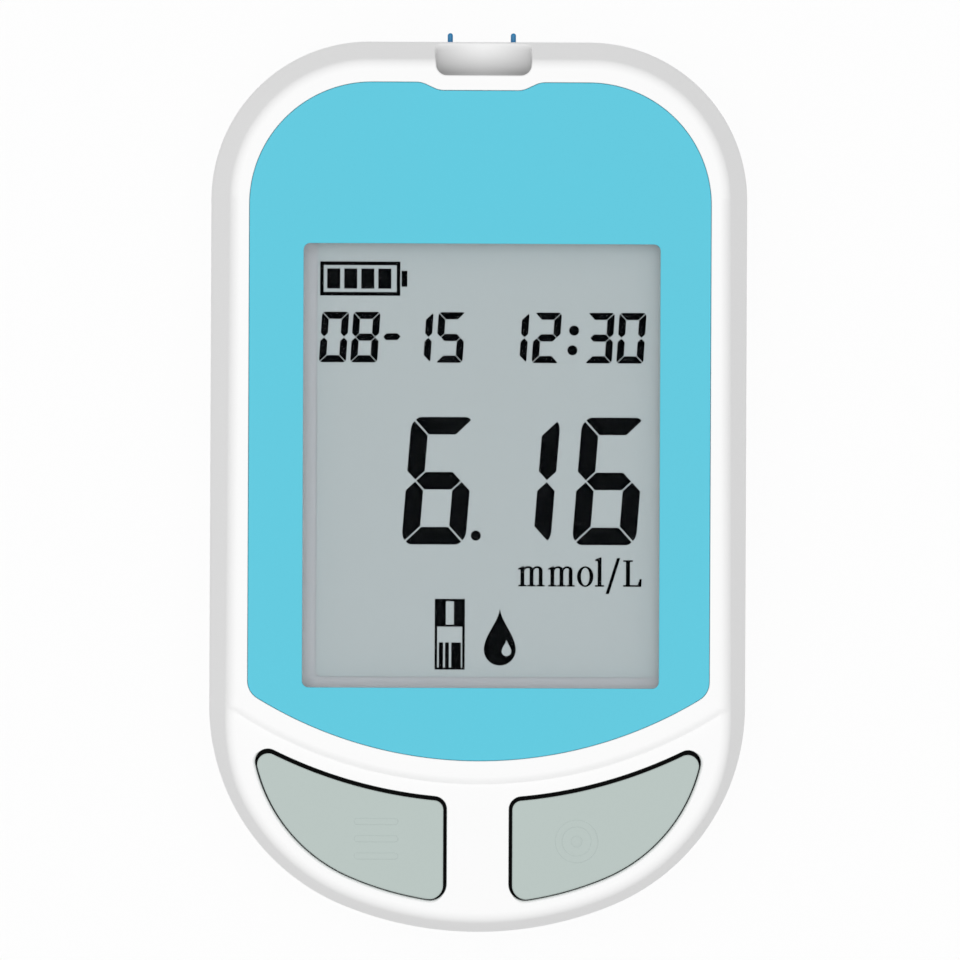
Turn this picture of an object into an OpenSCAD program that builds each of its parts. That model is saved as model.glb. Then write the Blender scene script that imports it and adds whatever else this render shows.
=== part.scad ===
// Blood glucose meter, lying on its back.
// Origin: centre of the flat back face. +X to the right of the display,
// +Y towards the test strip port, +Z out of the display. Millimetres.

/* [Housing] */
// Width of the housing at its parting line
body_w = 56; // [54:1:60]
// Length of the housing, port end to button end
body_l = 93; // [91:1:98]
// Radius of the two corners at the port end
top_corner_r = 16.5; // [14:0.5:18]
// Radius of the two corners at the button end
low_corner_r = 22.5; // [21:0.5:23.5]
// Radius of the wide arc between them
end_arc_r = 37; // [36:1:44]
// Thickness of the back wall and of the front skin
wall = 1.8; // [1.6:0.1:2]
// How far the side leans in from the outline to the front edge
flare_w = 2; // [1.6:0.1:2.4]
// The same lean round the button end, where the edge is rounder
flare_low_w = 0.75; // [0.5:0.05:1.2]
// Rounding of the front edge, seen from above
shoulder = 0.8; // [0.4:0.1:1]
// How far the button end lies below the rest of the front face
step_h = 0.6; // [0.3:0.1:0.8]
// Width of the rounded back edge
belly = 6.2; // [5:0.2:7]

/* [Fascia] */
// White rim between the outline and the fascia panel
rim_w = 4; // [3.6:0.1:4.4]
// Distance from the button end of the housing to the fascia panel
button_end_l = 17.9; // [17.4:0.1:19]
// Thickness of the fascia panel
fascia_t = 0.6; // [0.4:0.1:0.7]
// Radius of the fascia's lower edge
fascia_arc_r = 44.4; // [43:0.2:47]
// Depth of the dip round the strip port
dip_h = 0.8; // [0.5:0.1:1.1]
// Width of the dip at half its depth
dip_w = 10.6; // [10:0.2:12]

/* [Display] */
// Width of the fascia panel at each side of the window
side_margin = 5.4; // [5:0.1:6.6]
// Length of the fascia panel above the window
port_margin = 16.85; // [16.2:0.05:19]
// Length of the fascia panel below the window
low_margin = 7.65; // [7.4:0.05:9]
// Distance of the window's centre right of the centre line
window_x = 0.2; // [0:0.1:0.4]
// Height of the space between the board and the display
display_lift = 1.6; // [1.5:0.1:3]
// Thickness of each display glass
glass_t = 1.1; // [0.7:0.1:1.2]
// Thickness of the polariser and of the reflector
film_t = 0.2; // [0.1:0.05:0.3]
// Strip of bare glass left of the polariser
bare_w = 1.46; // [0.8:0.02:2]
// Strip of bare glass below the polariser
bare_l = 1.15; // [0.8:0.05:1.6]

/* [Buttons] */
// Travel of a button
travel = 0.5; // [0.3:0.05:0.6]
// Width of the white bar between the button openings
bar_w = 6.4; // [6:0.2:8]
// White band between the outline and the openings
button_rim = 3.15; // [3:0.05:3.6]
// Gap along a button's upper edge and inner side
gap_in = 0.5; // [0.3:0.05:0.6]
// Gap along a button's outer edge
gap_out = 0.15; // [0.12:0.01:0.25]
// Radius of the openings' upper edge
button_arc_r = 47.7; // [46:0.1:50]
// Rounding of the openings' corners
button_corner_r = 1.3; // [1:0.1:1.6]
// How far the caps stand out of the lower face
cap_proud = 0.5; // [0.3:0.05:0.7]

/* [Strip port] */
// Width of a test strip
strip_w = 6; // [5:0.1:7]
// Opening height of the strip slot
slot_h = 0.9; // [0.7:0.1:1.2]
// Depth of the slot's middle below the circuit board
slot_below = 1.85; // [1.75:0.05:2.4]
// How far the guide's two horns stand out of the housing
horn_out = 0.95; // [0.5:0.05:1.5]
// Width of each horn
horn_w = 0.5; // [0.4:0.05:0.7]
// Length of the scoop above the port, from the end of the housing
scoop_l = 3.4; // [3:0.1:3.6]
// Width of the scoop at the end of the housing
scoop_w = 10.4; // [9.6:0.2:11]

/* [Power] */
// Diameter of a size AAA cell
cell_d = 10.5; // [9.8:0.1:10.5]
// Length of a size AAA cell
cell_l = 44.5; // [43.5:0.1:44.5]
// Play round a cell in its bay
cell_play = 0.25; // [0.15:0.05:0.3]
// Depth of a leaf contact in front of its plate
leaf_l = 4.2; // [3.4:0.1:4.6]
// Thickness of the battery door
door_t = 1.6; // [1.4:0.1:1.8]
// Gap round the battery door
door_gap = 0.15; // [0.1:0.05:0.25]

/* [Board and fasteners] */
// Thickness of the circuit board
board_t = 1.2; // [1:0.1:1.4]
// Shank diameter of the housing screws
screw_d = 2; // [1.8:0.1:2.2]
// Shank diameter of the board screws
board_screw_d = 1.6; // [1.4:0.1:1.7]
// Running clearance between pieces that are assembled by hand
play = 0.1; // [0.08:0.01:0.12]

/* [Hidden] */
$fn = 48;

eps = 0.01;           // overlap that makes a cut clean
through = 200;        // longer than the whole part
half_w = body_w / 2;
half_l = body_l / 2;

// Centres of the outline's arcs
top_c = [half_w - top_corner_r, half_l - top_corner_r];
end_cy = end_arc_r - half_l;
low_cx = half_w - low_corner_r;
low_cy = end_cy - sqrt(pow(end_arc_r - low_corner_r, 2) - pow(low_cx, 2));
low_turn = atan2(end_cy - low_cy, low_cx);  // where a low corner meets the end arc, below +X
blend_l = 10;                               // length over which the lean changes below the corners

// Heights, from the back up: door, cells, board, display, front skin
cell_z = door_t + play + cell_play + cell_d / 2;
bay_top_z = cell_z + cell_d / 2 + cell_play / 2;
bay_roof = 0.6;
bay_clear = 0.225;
board_low_z = bay_top_z + bay_roof + bay_clear;
board_z = board_low_z + board_t;    // top face of the board
reflector_z = board_z + display_lift;
rear_glass_z = reflector_z + film_t;
front_glass_z = rear_glass_z + glass_t;
gasket_t = 0.4;
gasket_z = front_glass_z + glass_t;
ceiling_z = gasket_z + gasket_t;
lens_flange_t = 0.4;
lens_skin = 0.9;                    // skin under the flange of the display lens
lens_seat_z = ceiling_z + lens_skin;
recess_z = lens_seat_z + lens_flange_t;
fascia_z = recess_z + fascia_t;
body_h = fascia_z + play;
low_face_z = body_h - step_h;

// Strip guide, clamped between the shells at the parting line
guide_h = 2.9;
guide_w = strip_w + 3.2;
guide_l = 2.8;
guide_y = half_l - 0.3;              // front face of the guide
guide_flange = 0.8;
guide_flange_t = 0.6;
slot_w = strip_w + 0.3;
port_z = board_low_z - slot_below;   // middle of the strip slot
parting_z = port_z - guide_h / 2 - play;
flare_z = parting_z + 4;
scoop_floor = port_z + guide_h / 2 + 1.2;
connector_l = 9;
connector_w = 11;
socket_y = guide_y - guide_l - play - connector_l / 2;
contact_x = [-2, -1, 0, 1, 2] * 1.2;

// Insets of the inner walls from the outline
inner_low = wall + 0.4;
inner_high = wall + 1.5;
board_inset = inner_high + 0.9;
lip_w = 0.95;
lip_h = 1.5;
lip_root = 2;
lip_in = inner_low + play + lip_w;

// Fascia panel and viewing window
port_rim_w = rim_w + 0.3;
fascia_top = half_l - port_rim_w;
fascia_low = button_end_l - half_l;
fascia_l = fascia_top - fascia_low;
fascia_cy = fascia_low + fascia_arc_r;
fascia_low_r = 2.1;
crease_out = 2.3;                   // from the fascia panel to the crease
crease_w = 0.8;
crease_r = fascia_arc_r + crease_out;
window_w = body_w - 2 * (rim_w + side_margin);
window_l = fascia_l - port_margin - low_margin;
window_y = fascia_low + low_margin + window_l / 2;
window_r = 0.7;
aperture_grow = 0.5;
lens_flange_w = 1.2;

// Display glass: both plates share their width, and the front one has a contact ledge below
glass_over = 1.6;
glass_w = window_w + 2 * glass_over;
glass_top = window_y + window_l / 2 + glass_over;
rear_glass_l = window_l + 2 * glass_over;
ledge_l = 3;
carrier_rim = 0.8;
carrier_hold = 3;
connector_t = 2;
connector_y = glass_top - rear_glass_l - ledge_l / 2;

// Battery bay, under the board, between the low board screws and the strip socket
head_share = 0.95;                   // radius of a screw's head over its shank's diameter
cell_gap = 0.3;
cell_pitch = cell_d + cell_gap;
bay_w = cell_pitch + cell_d + 2 * cell_play;
plate_t = 0.4;
bay_slack = 0.1;
bay_l = cell_l + leaf_l + 2 * plate_t + bay_slack;
bay_wall = 1.2;
low_post_y = fascia_low - 0.2;
bay_start = low_post_y + head_share * board_screw_d + bay_wall + bay_l / 2;
bay_room = socket_y - connector_l / 2 - bay_wall - bay_l / 2 - bay_start;
bay_y = round(10 * bay_start + 2.38 * bay_room) / 10;  // nearer the screws than the strip socket
door_ledge = 0.9;
door_over = 3.5;                     // how far the door reaches past the bay at each end
door_w = bay_w + 2 * door_ledge;
door_l = bay_l + 2 * door_over;
door_r = 1.5;
door_top_y = bay_y + door_l / 2;
door_low_y = bay_y - door_l / 2;
frame_w = 1.5;                       // frame that the door shuts against
frame_l = 2;
tongue_x = 6;
tongue_w = 4;
tongue_l = 1.8;
latch_w = 7;
latch_l = 6;
latch_in = 0.9;
slit_w = 0.5;
contact_w = 7;

// Places of the fasteners
corner_screw_x = half_w - 10;
corner_screw_in = 11.5;
end_screw_in = 8;
corner_screw_y = half_l - corner_screw_in;
housing_screw_at = [[-corner_screw_x, corner_screw_y], [corner_screw_x, corner_screw_y],
                    [0, end_screw_in - half_l]];
housing_screw_l = 10;
boss_t = 1.4;
post_t = 2.2;
head_seat_z = 4;
board_post_t = 1;
board_post_x = 12;
board_post_y = max(glass_top + 4.25, bay_y + bay_l / 2 + bay_wall + 4.2);  // clear of glass and bay
low_post_x = 6;
board_screw_at = [[-board_post_x, board_post_y], [board_post_x, board_post_y],
                  [-low_post_x, low_post_y], [low_post_x, low_post_y]];
board_screw_bite = 2.5;
pilot = 4;

// Buttons
button_cy = fascia_low - 3.9 + button_arc_r;  // centre of the openings' upper arc
cap_z = low_face_z + cap_proud;
cap_flange = 1.1;
switch_x = 12;
switch_in = 11.2;
switch_at = [[-switch_x, switch_in - half_l], [switch_x, switch_in - half_l]];
switch_w = 6;
switch_h = 2.4;
plunger_d = 3.4;
plunger_up = travel + 0.1;
cap_low_z = board_z + switch_h + plunger_up;
flange_z = ceiling_z - play;

// Pieces hung under the board, between the battery bay and the lip
bay_out = bay_w / 2 + bay_wall;
buzzer_d = 9;
buzzer_h = 4;
buzzer_at = [(bay_out + half_w - lip_in) / 2, bay_y + 7];
chip_x = (bay_out + half_w - board_inset) / 2;
lead_l = 0.8;
lead_t = 0.3;

// ---- Outlines ------------------------------------------------------------

function smooth(t) = let(k = min(1, max(0, t))) k * k * (3 - 2 * k);

// Inset that changes from up to low between the crease and the button end
function inset_at(y, up, low) = up + (low - up) * smooth((low_cy - y) / blend_l);

function arc(c, r, from, to, steps, up = 0, low = 0) =
  [for (i = [0 : steps])
    let(a = from + (to - from) * i / steps, y = c.y + r * sin(a))
    c + (r - inset_at(y, up, low)) * [cos(a), sin(a)]];

// Outline of the meter, inset by up, or by low round the button end
function outline_points(up, low) = concat(
  arc(top_c, top_corner_r, 0, 90, 14, up, low),
  arc([-top_c.x, top_c.y], top_corner_r, 90, 180, 14, up, low),
  arc([-low_cx, low_cy], low_corner_r, 180, 180 + low_turn, 12, up, low),
  arc([0, end_cy], end_arc_r, 180 + low_turn + 2, 358 - low_turn, 10, up, low),
  arc([low_cx, low_cy], low_corner_r, 360 - low_turn, 360, 12, up, low));

module outline(inset = 0) {
  polygon(outline_points(inset, inset));
}

// Solid through rings of equal length, given from the bottom up
module loft(rings) {
  n = len(rings[0]);
  m = len(rings);
  points = [for (ring = rings) each ring];
  sides = [for (k = [0 : m - 2], i = [0 : n - 1])
    let(a = k * n + i, b = k * n + (i + 1) % n)
    each [[a, a + n, b], [b, a + n, b + n]]];
  low_cap = [for (i = [0 : n - 1]) i];
  top_cap = [for (i = [n - 1 : -1 : 0]) (m - 1) * n + i];
  polyhedron(points, concat([low_cap], sides, [top_cap]));
}

// levels holds [height, inset, inset round the button end]
function rings(levels) =
  [for (v = levels) [for (p = outline_points(v[1], v[2])) [p.x, p.y, v[0]]]];

module rounded_rect(w, l, r) {
  square([w - 2 * r, l], center = true);
  square([w, l - 2 * r], center = true);
  for (x = [-1, 1], y = [-1, 1])
    translate([x * (w / 2 - r), y * (l / 2 - r)]) circle(r);
}

module box(w, l, z0, z1) {
  translate([-w / 2, -l / 2, z0]) cube([w, l, z1 - z0]);
}

module window_block(grow, r, z0, z1) {
  translate([window_x, window_y, z0]) linear_extrude(z1 - z0)
    rounded_rect(window_w + 2 * grow, window_l + 2 * grow, r);
}

// ---- Housing -------------------------------------------------------------

module fascia_outline(grow = 0) {
  side = half_w - rim_w;
  corner = top_corner_r - rim_w;
  offset(delta = grow) offset(r = -1) offset(r = 1) difference() {
    offset(r = fascia_low_r) offset(delta = -fascia_low_r) intersection() {
      translate([0, fascia_top - fascia_l / 2]) rounded_rect(2 * side, fascia_l, corner);
      translate([0, fascia_cy]) circle(fascia_arc_r, $fn = 160);
      translate([0, fascia_top]) square([2 * side, 2 * fascia_l], center = true);
    }
    translate([0, fascia_top]) polygon([[-dip_w / 2 - 1, 0.1], [-dip_w / 2 + 0.9, -dip_h],
                                        [dip_w / 2 - 0.9, -dip_h], [dip_w / 2 + 1, 0.1]]);
  }
}

module front_block() {
  lean = flare_w / (low_face_z - flare_z);
  mid_z = low_face_z - 1.4;
  loft(rings([
    [parting_z, 0.25, 0.25],
    [parting_z + 0.25, 0, 0],
    [flare_z, 0, 0],
    [mid_z, lean * (mid_z - flare_z), flare_low_w],
    [low_face_z - 0.8, flare_w - 0.8 * lean, flare_low_w + 0.22],
    [low_face_z - 0.35, flare_w - 0.35 * lean, flare_low_w + 0.6],
    [low_face_z - 0.1, flare_w - 0.1 * lean, flare_low_w + 1.05],
    [low_face_z, flare_w, flare_low_w + 1.5]]));
  // The higher part of the front face, which ends at the crease above the buttons
  intersection() {
    loft(rings([
      [low_face_z - eps, flare_w - eps, flare_low_w + 1.5],
      [low_face_z + 0.3 * step_h, flare_w + 0.1 * shoulder, flare_low_w + 1.6],
      [low_face_z + 0.75 * step_h, flare_w + 0.45 * shoulder, flare_low_w + 1.9],
      [body_h, flare_w + shoulder, flare_low_w + 2.2]]));
    translate([0, fascia_cy, low_face_z - 2 * eps])
      cylinder(h = step_h + 2 * eps, r1 = crease_r, r2 = crease_r - crease_w, $fn = 180);
  }
}

module button_opening_cuts() {
  for (side = [0, 1])
    mirror([side, 0, 0]) translate([0, 0, ceiling_z - 1])
      linear_extrude(body_h) polygon(button_points(0, 0, 0));
}

// Hollow above the port: its floor is level at the end of the housing and curves up inwards
module scoop() {
  depth = body_h + 0.5 - scoop_floor;
  reach = scoop_l + 0.4;
  taper = 0.8;
  intersection() {
    translate([0, half_l + 0.4, body_h + 0.5]) rotate([90, 0, 90])
      linear_extrude(scoop_w + 2, center = true)
        polygon(concat([[0, 0]], [for (a = [180 : 6 : 270]) [reach * cos(a), depth * sin(a)]],
                       [[5, -depth], [5, 0]]));
    translate([0, 0, scoop_floor - 1]) linear_extrude(body_h) offset(r = 0.9) offset(delta = -0.9)
      polygon([[-scoop_w / 2 + taper, half_l - scoop_l], [scoop_w / 2 - taper, half_l - scoop_l],
               [scoop_w / 2 + 0.9, half_l + 4], [-scoop_w / 2 - 0.9, half_l + 4]]);
  }
}

module front_housing() color("white") {
  boss_low_z = parting_z + 0.1;
  difference() {
    union() {
      difference() {
        front_block();
        translate([0, 0, parting_z - 1]) linear_extrude(flare_z - parting_z + 1) outline(inner_low);
        translate([0, 0, flare_z - eps]) linear_extrude(ceiling_z - flare_z + eps) outline(inner_high);
      }
      // Bosses for the housing screws and posts for the board
      for (p = housing_screw_at)
        translate([p.x, p.y, boss_low_z])
          cylinder(h = ceiling_z - boss_low_z + 0.5, r = screw_d / 2 + boss_t);
      for (p = board_screw_at)
        translate([p.x, p.y, board_z])
          cylinder(h = ceiling_z - board_z + 0.5, r = board_screw_d / 2 + board_post_t);
      // Wall behind the scoop
      translate([0, half_l - scoop_l - 0.2, 0])
        box(scoop_w + 1.6, 2.8, board_z + 2 * play, ceiling_z + 0.5);
    }
    translate([0, 0, recess_z]) linear_extrude(body_h) fascia_outline(play);
    window_block(lens_flange_w + play, window_r + 2 * play, lens_seat_z, body_h);
    window_block(aperture_grow, 1, ceiling_z - 1, body_h);
    button_opening_cuts();
    scoop();
    // Gate for the strip guide, open at the parting line
    translate([0, half_l, 0])
      box(guide_w + 2 * play, 4 * (half_l - guide_y + guide_l), 0, port_z + guide_h / 2 + play);
    for (p = housing_screw_at)
      translate([p.x, p.y, boss_low_z - 1]) cylinder(h = housing_screw_l - 3, r = screw_d / 2 + eps);
    for (p = board_screw_at)
      translate([p.x, p.y, board_z - 1]) cylinder(h = pilot, r = board_screw_d / 2 + eps);
  }
}

module door_plan(grow) {
  translate([0, bay_y]) rounded_rect(door_w + 2 * grow, door_l + 2 * grow, door_r + grow);
}

module rear_block() {
  loft(rings([
    [0, belly, belly],
    [0.22, 0.82 * belly, 0.82 * belly],
    [0.9, 0.6 * belly, 0.6 * belly],
    [2.3, 0.35 * belly, 0.35 * belly],
    [4.4, 0.16 * belly, 0.16 * belly],
    [7, 0.05 * belly, 0.05 * belly],
    [parting_z - 0.25, 0, 0],
    [parting_z, 0.25, 0.25]]));
}

module rear_housing() color("white") {
  post_r = screw_d / 2 + post_t;
  difference() {
    union() {
      difference() {
        rear_block();
        translate([0, 0, wall]) linear_extrude(parting_z) outline(belly - 0.5);
        translate([0, 0, 2.6]) linear_extrude(parting_z) outline(0.32 * belly + wall);
        translate([0, 0, 5]) linear_extrude(parting_z) outline(inner_low + 0.2);
      }
      // Locating lip inside the front shell
      translate([0, 0, parting_z - lip_root]) linear_extrude(lip_root + lip_h) difference() {
        outline(lip_in - lip_w);
        outline(lip_in);
      }
      // Walls and roof of the battery bay
      translate([0, bay_y, 0])
        box(2 * bay_out, bay_l + 2 * bay_wall, wall - eps, bay_top_z + bay_roof);
      // Frame that the door shuts against
      translate([0, bay_y, 0]) box(door_w + 2 * frame_w, door_l + 2 * frame_l, wall - eps, wall + frame_w);
      for (p = housing_screw_at)
        translate([p.x, p.y, wall - eps]) cylinder(h = parting_z - wall, r = post_r);
    }
    // Room for the cells, open at the back
    translate([0, bay_y, 0]) box(bay_w, bay_l, -1, bay_top_z);
    translate([0, 0, -1]) linear_extrude(door_t + play + 1) door_plan(door_gap);
    // Slots for the door's two tongues, and room for them to turn
    for (x = [-1, 1])
      translate([x * tongue_x, door_top_y + 0.4, 0]) box(tongue_w + 0.6, 6, door_t - 0.3, 4);
    // Finger notch and room for the latch arm
    translate([0, door_low_y - 1.5, -7.7]) sphere(r = 9, $fn = 72);
    translate([0, door_low_y + latch_in, 0]) box(latch_w + 0.6, 2.2, door_t - 0.3, wall + 3);
    // Room for the strip guide and its socket in the lip
    translate([0, half_l, 0]) box(connector_w + 0.8, 12, parting_z, body_h);
    for (p = housing_screw_at) {
      translate([p.x, p.y, -1]) cylinder(h = parting_z + 2, r = screw_d / 2 + 0.15);
      translate([p.x, p.y, -1]) cylinder(h = head_seat_z + 1, r = screw_d + 0.2);
    }
    for (x = [-2, -1, 0, 1, 2])
      translate([buzzer_at.x + 1.8 * x, buzzer_at.y, -1]) cylinder(h = 6, r = 0.5);
  }
}

// ---- Fascia and display --------------------------------------------------

module fascia_panel() color("skyblue") {
  difference() {
    translate([0, 0, recess_z]) linear_extrude(fascia_t) fascia_outline();
    window_block(0, window_r, recess_z - 1, body_h);
  }
}

module display_lens() color("gainsboro", 0.4) {
  window_block(-0.03, window_r - 0.03, recess_z, fascia_z - 0.03);
  window_block(lens_flange_w, window_r + play, lens_seat_z, recess_z);
}

module glass_block(w, l, z, t) {
  translate([window_x, glass_top - l / 2, 0]) box(w, l, z, z + t);
}

module lcd_gasket() color("dimgray") {
  difference() {
    glass_block(glass_w, rear_glass_l + ledge_l, gasket_z, gasket_t);
    window_block(aperture_grow + play, 1, ceiling_z - 1, body_h);
  }
}

module lcd_polariser() color("silver") {
  film_w = window_w - bare_w + 0.2;
  film_l = window_l - bare_l + 0.3;
  translate([window_x + bare_w / 2 + 0.1, window_y + bare_l / 2 + 0.15, gasket_z])
    linear_extrude(film_t) rounded_rect(film_w, film_l, 0.6);
}

module lcd_front_glass() color("lightsteelblue") {
  glass_block(glass_w, rear_glass_l + ledge_l, front_glass_z, glass_t);
}

module lcd_rear_glass() color("lightsteelblue") {
  glass_block(glass_w, rear_glass_l, rear_glass_z, glass_t);
}

module lcd_reflector() color("gainsboro") {
  glass_block(glass_w - 0.6, rear_glass_l - 0.6, reflector_z, film_t);
}

module lcd_carrier() color("ivory") {
  outer_w = glass_w + 2 * carrier_rim;
  outer_l = rear_glass_l + ledge_l + 2 * carrier_rim;
  difference() {
    translate([0, carrier_rim, 0]) glass_block(outer_w, outer_l, board_z, front_glass_z - board_z);
    translate([0, play, 0]) glass_block(glass_w + 2 * play, rear_glass_l + 2 * play, reflector_z, body_h);
    translate([0, -carrier_hold, 0])
      glass_block(glass_w - 2 * carrier_hold, rear_glass_l - 2 * carrier_hold, board_z - 1, body_h);
    translate([window_x, connector_y, 0])
      box(glass_w - connector_t + 2 * play, connector_t + 2 * play, board_z - 1, body_h);
  }
}

module lcd_connector() color("lightgray") {
  translate([window_x, connector_y, 0]) box(glass_w - connector_t, connector_t, board_z, front_glass_z);
}

// ---- Circuit board -------------------------------------------------------

module main_board() color("darkgreen") {
  difference() {
    translate([0, 0, board_low_z]) linear_extrude(board_t) outline(board_inset);
    for (p = housing_screw_at)
      translate([p.x, p.y, 0]) cylinder(h = body_h, r = screw_d / 2 + boss_t + 0.3);
    for (p = board_screw_at)
      translate([p.x, p.y, 0]) cylinder(h = body_h, r = board_screw_d / 2 + play);
  }
}

// A chip with rows of bent leads down two sides, hung under the board
module chip(w, l, t, leads) {
  box(w, l, board_low_z - t, board_low_z - 0.1);
  pitch = l / leads;
  for (side = [-1, 1], i = [0 : leads - 1])
    translate([side * (w + lead_l) / 2, (i - (leads - 1) / 2) * pitch, 0])
      box(lead_l + eps, 0.45 * pitch, board_low_z - lead_t, board_low_z);
}

module board_chips() color("dimgray") {
  processor_w = 7;
  small_w = 4;
  regulator_w = 3;
  chip_t = 1.4;
  translate([-chip_x, 0.13 * body_l, 0]) chip(processor_w, processor_w + 2, chip_t, 9);
  for (y = [-0.03, -0.15])
    translate([-chip_x, y * body_l, 0]) chip(small_w, small_w + 1, chip_t, 4);
  translate([chip_x, -0.1 * body_l, 0]) chip(regulator_w, regulator_w, chip_t, 3);
}

module buzzer() color("dimgray") {
  difference() {
    translate([buzzer_at.x, buzzer_at.y, board_low_z - buzzer_h]) cylinder(h = buzzer_h, r = buzzer_d / 2);
    translate([buzzer_at.x, buzzer_at.y, board_low_z - buzzer_h - 1]) cylinder(h = 1.8, r = buzzer_d / 9);
  }
}

// ---- Buttons -------------------------------------------------------------

function circles_meet(c1, r1, c2, r2) =
  let(d = c2 - c1, l = norm(d), a = (r1 * r1 - r2 * r2 + l * l) / (2 * l), h = sqrt(r1 * r1 - a * a))
  c1 + a * d / l + h * [-d.y, d.x] / l;

function angle_of(v) = atan2(v.y, v.x);

function turn(c, r, from, to, steps) =
  [for (i = [0 : steps]) let(a = from + (to - from) * i / steps) c + r * [cos(a), sin(a)]];

// The right-hand button's outline: shrunk by a at the upper edge and inner side, by b at the
// outer edge, and by in all round
function button_points(a, b, in) =
  let(
    upper_c = [0, button_cy],
    upper_r = button_arc_r + a + in,
    inner_x = bar_w / 2 + a + in,
    end_c = [0, end_cy],
    end_r = end_arc_r - button_rim - b - in,
    low_c = [low_cx, low_cy],
    low_r = low_corner_r - button_rim - b - in,
    r = max(0.4, button_corner_r - a / 2 - in),
    tip = circles_meet(upper_c, upper_r + r, low_c, low_r - r),
    high = [inner_x + r, button_cy - sqrt(pow(upper_r + r, 2) - pow(inner_x + r, 2))],
    deep = [inner_x + r, end_cy - sqrt(pow(end_r - r, 2) - pow(inner_x + r, 2))],
    tip_up = angle_of(upper_c - tip),
    tip_out = angle_of(tip - low_c),
    high_up = angle_of(upper_c - high),
    deep_out = angle_of(deep - end_c))
  concat(
    turn(tip, r, tip_out, tip_up, 6),
    turn(upper_c, upper_r, tip_up - 180, high_up - 180, 10),
    turn(high, r, high_up, 180, 5),
    turn(deep, r, 180, 360 + deep_out, 5),
    turn(end_c, end_r, deep_out, -low_turn, 4),
    turn(low_c, low_r, -low_turn + 3, tip_out - 1, 7));

function lifted(points, z) = [for (p = points) [p.x, p.y, z]];

// Cap with a rounded top edge, and below it a flange that stops it under the front skin
module button_cap() {
  flange = button_points(gap_in - cap_flange, inner_high + 0.3 - button_rim, 0);
  edge = [[flange_z, 0], [cap_z - 0.35, 0], [cap_z - 0.16, 0.07], [cap_z - 0.04, 0.22], [cap_z, 0.45]];
  loft(concat(
    [lifted(flange, cap_low_z), lifted(flange, flange_z)],
    [for (e = edge) lifted(button_points(gap_in, gap_out, e[1]), e[0])]));
}

module button_left() color("darkgray") {
  mirror([1, 0, 0]) button_cap();
}

module button_right() color("darkgray") {
  button_cap();
}

module switch_bases() color("dimgray") {
  for (p = switch_at)
    difference() {
      translate([p.x, p.y, 0]) box(switch_w, switch_w, board_z, board_z + switch_h);
      translate([p.x, p.y, board_z - 1]) cylinder(h = 2 * switch_h, r = plunger_d / 2 + 0.08);
    }
}

module switch_plunger(p) {
  translate([p.x, p.y, board_z + plunger_up])
    cylinder(h = switch_h, r = plunger_d / 2);
}

module switch_plunger_left() color("black") {
  switch_plunger(switch_at[0]);
}

module switch_plunger_right() color("black") {
  switch_plunger(switch_at[1]);
}

// ---- Strip port ----------------------------------------------------------

module strip_guide() color("royalblue") {
  flare = 0.5;
  difference() {
    union() {
      translate([0, guide_y - guide_l / 2, 0])
        box(guide_w, guide_l, port_z - guide_h / 2, port_z + guide_h / 2);
      // Flange that keeps the guide inside the wall
      translate([0, guide_y - guide_l + guide_flange_t / 2, 0])
        box(guide_w + 2 * guide_flange, guide_flange_t, port_z - guide_h / 2, port_z + guide_h / 2);
      for (x = [-1, 1])
        hull() {
          translate([x * (slot_w + horn_w) / 2, guide_y - 1, 0]) box(horn_w, 1, port_z - 1, port_z + 1);
          translate([x * (slot_w + horn_w) / 2, half_l + horn_out - 0.5, port_z]) rotate([0, 90, 0])
            cylinder(h = horn_w, r = 0.5, center = true, $fn = 24);
        }
    }
    translate([0, guide_y, 0]) box(slot_w, 4 * guide_l, port_z - slot_h / 2, port_z + slot_h / 2);
    // Lead-in above and below the slot
    translate([0, guide_y + eps, port_z]) rotate([90, 0, 90]) linear_extrude(slot_w, center = true)
      polygon([[0, slot_h / 2 + flare], [-1.2, 0], [0, -slot_h / 2 - flare]]);
  }
}

module strip_connector() color("black") {
  difference() {
    translate([0, socket_y, 0]) box(connector_w, connector_l, port_z - guide_h / 2 + play, board_low_z);
    translate([0, socket_y + 1.5, 0])
      box(slot_w, connector_l, port_z - slot_h / 2, port_z + slot_h / 2);
    // Open channels over the contacts
    for (x = contact_x)
      translate([x, socket_y + 1, 0]) box(0.9, connector_l - 2, port_z, port_z + 4);
  }
}

// Spring fingers that press on the strip
module strip_contacts() color("goldenrod") {
  reach = connector_l - 5;
  for (x = contact_x)
    translate([x + 0.25, socket_y, port_z + slot_h / 2 + 0.05]) rotate([90, 0, -90]) linear_extrude(0.5)
      polygon([[-reach / 2 - 0.4, 0.55], [0, 0.2], [reach / 2, -0.15], [reach / 2 + 0.4, 0],
               [reach / 2, 0.05], [0, 0.4], [-reach / 2 - 0.4, 0.75]]);
}

// ---- Power ---------------------------------------------------------------

module battery_door() color("whitesmoke") {
  difference() {
    union() {
      linear_extrude(door_t) door_plan(0);
      // Tongues that hook inside the rear shell
      for (x = [-1, 1])
        translate([x * tongue_x - tongue_w / 2, door_top_y, 0]) rotate([90, 0, 90])
          linear_extrude(tongue_w)
            polygon([[-1, door_t - eps], [-0.3, door_t - eps], [tongue_l - 0.4, wall + 0.15],
                     [tongue_l, wall + 0.5], [tongue_l, wall + 1], [-1, wall + 1]]);
      // Spring arm of the latch
      translate([0, door_low_y + latch_in, 0]) box(latch_w, 1.2, door_t - eps, wall + 2);
    }
    // Slits that free the latch from the door
    for (x = [-1, 1])
      translate([x * (latch_w / 2 + slit_w), door_low_y + latch_l / 2 - 0.5, 0])
        box(slit_w, latch_l, -1, door_t + 3);
    // Grip ridges
    for (i = [0 : 4])
      translate([0, door_low_y + 2 + 1.4 * i, 0]) rotate([0, 90, 0])
        cylinder(h = latch_w - 1.5, r = 0.35, center = true, $fn = 24);
  }
}

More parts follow.
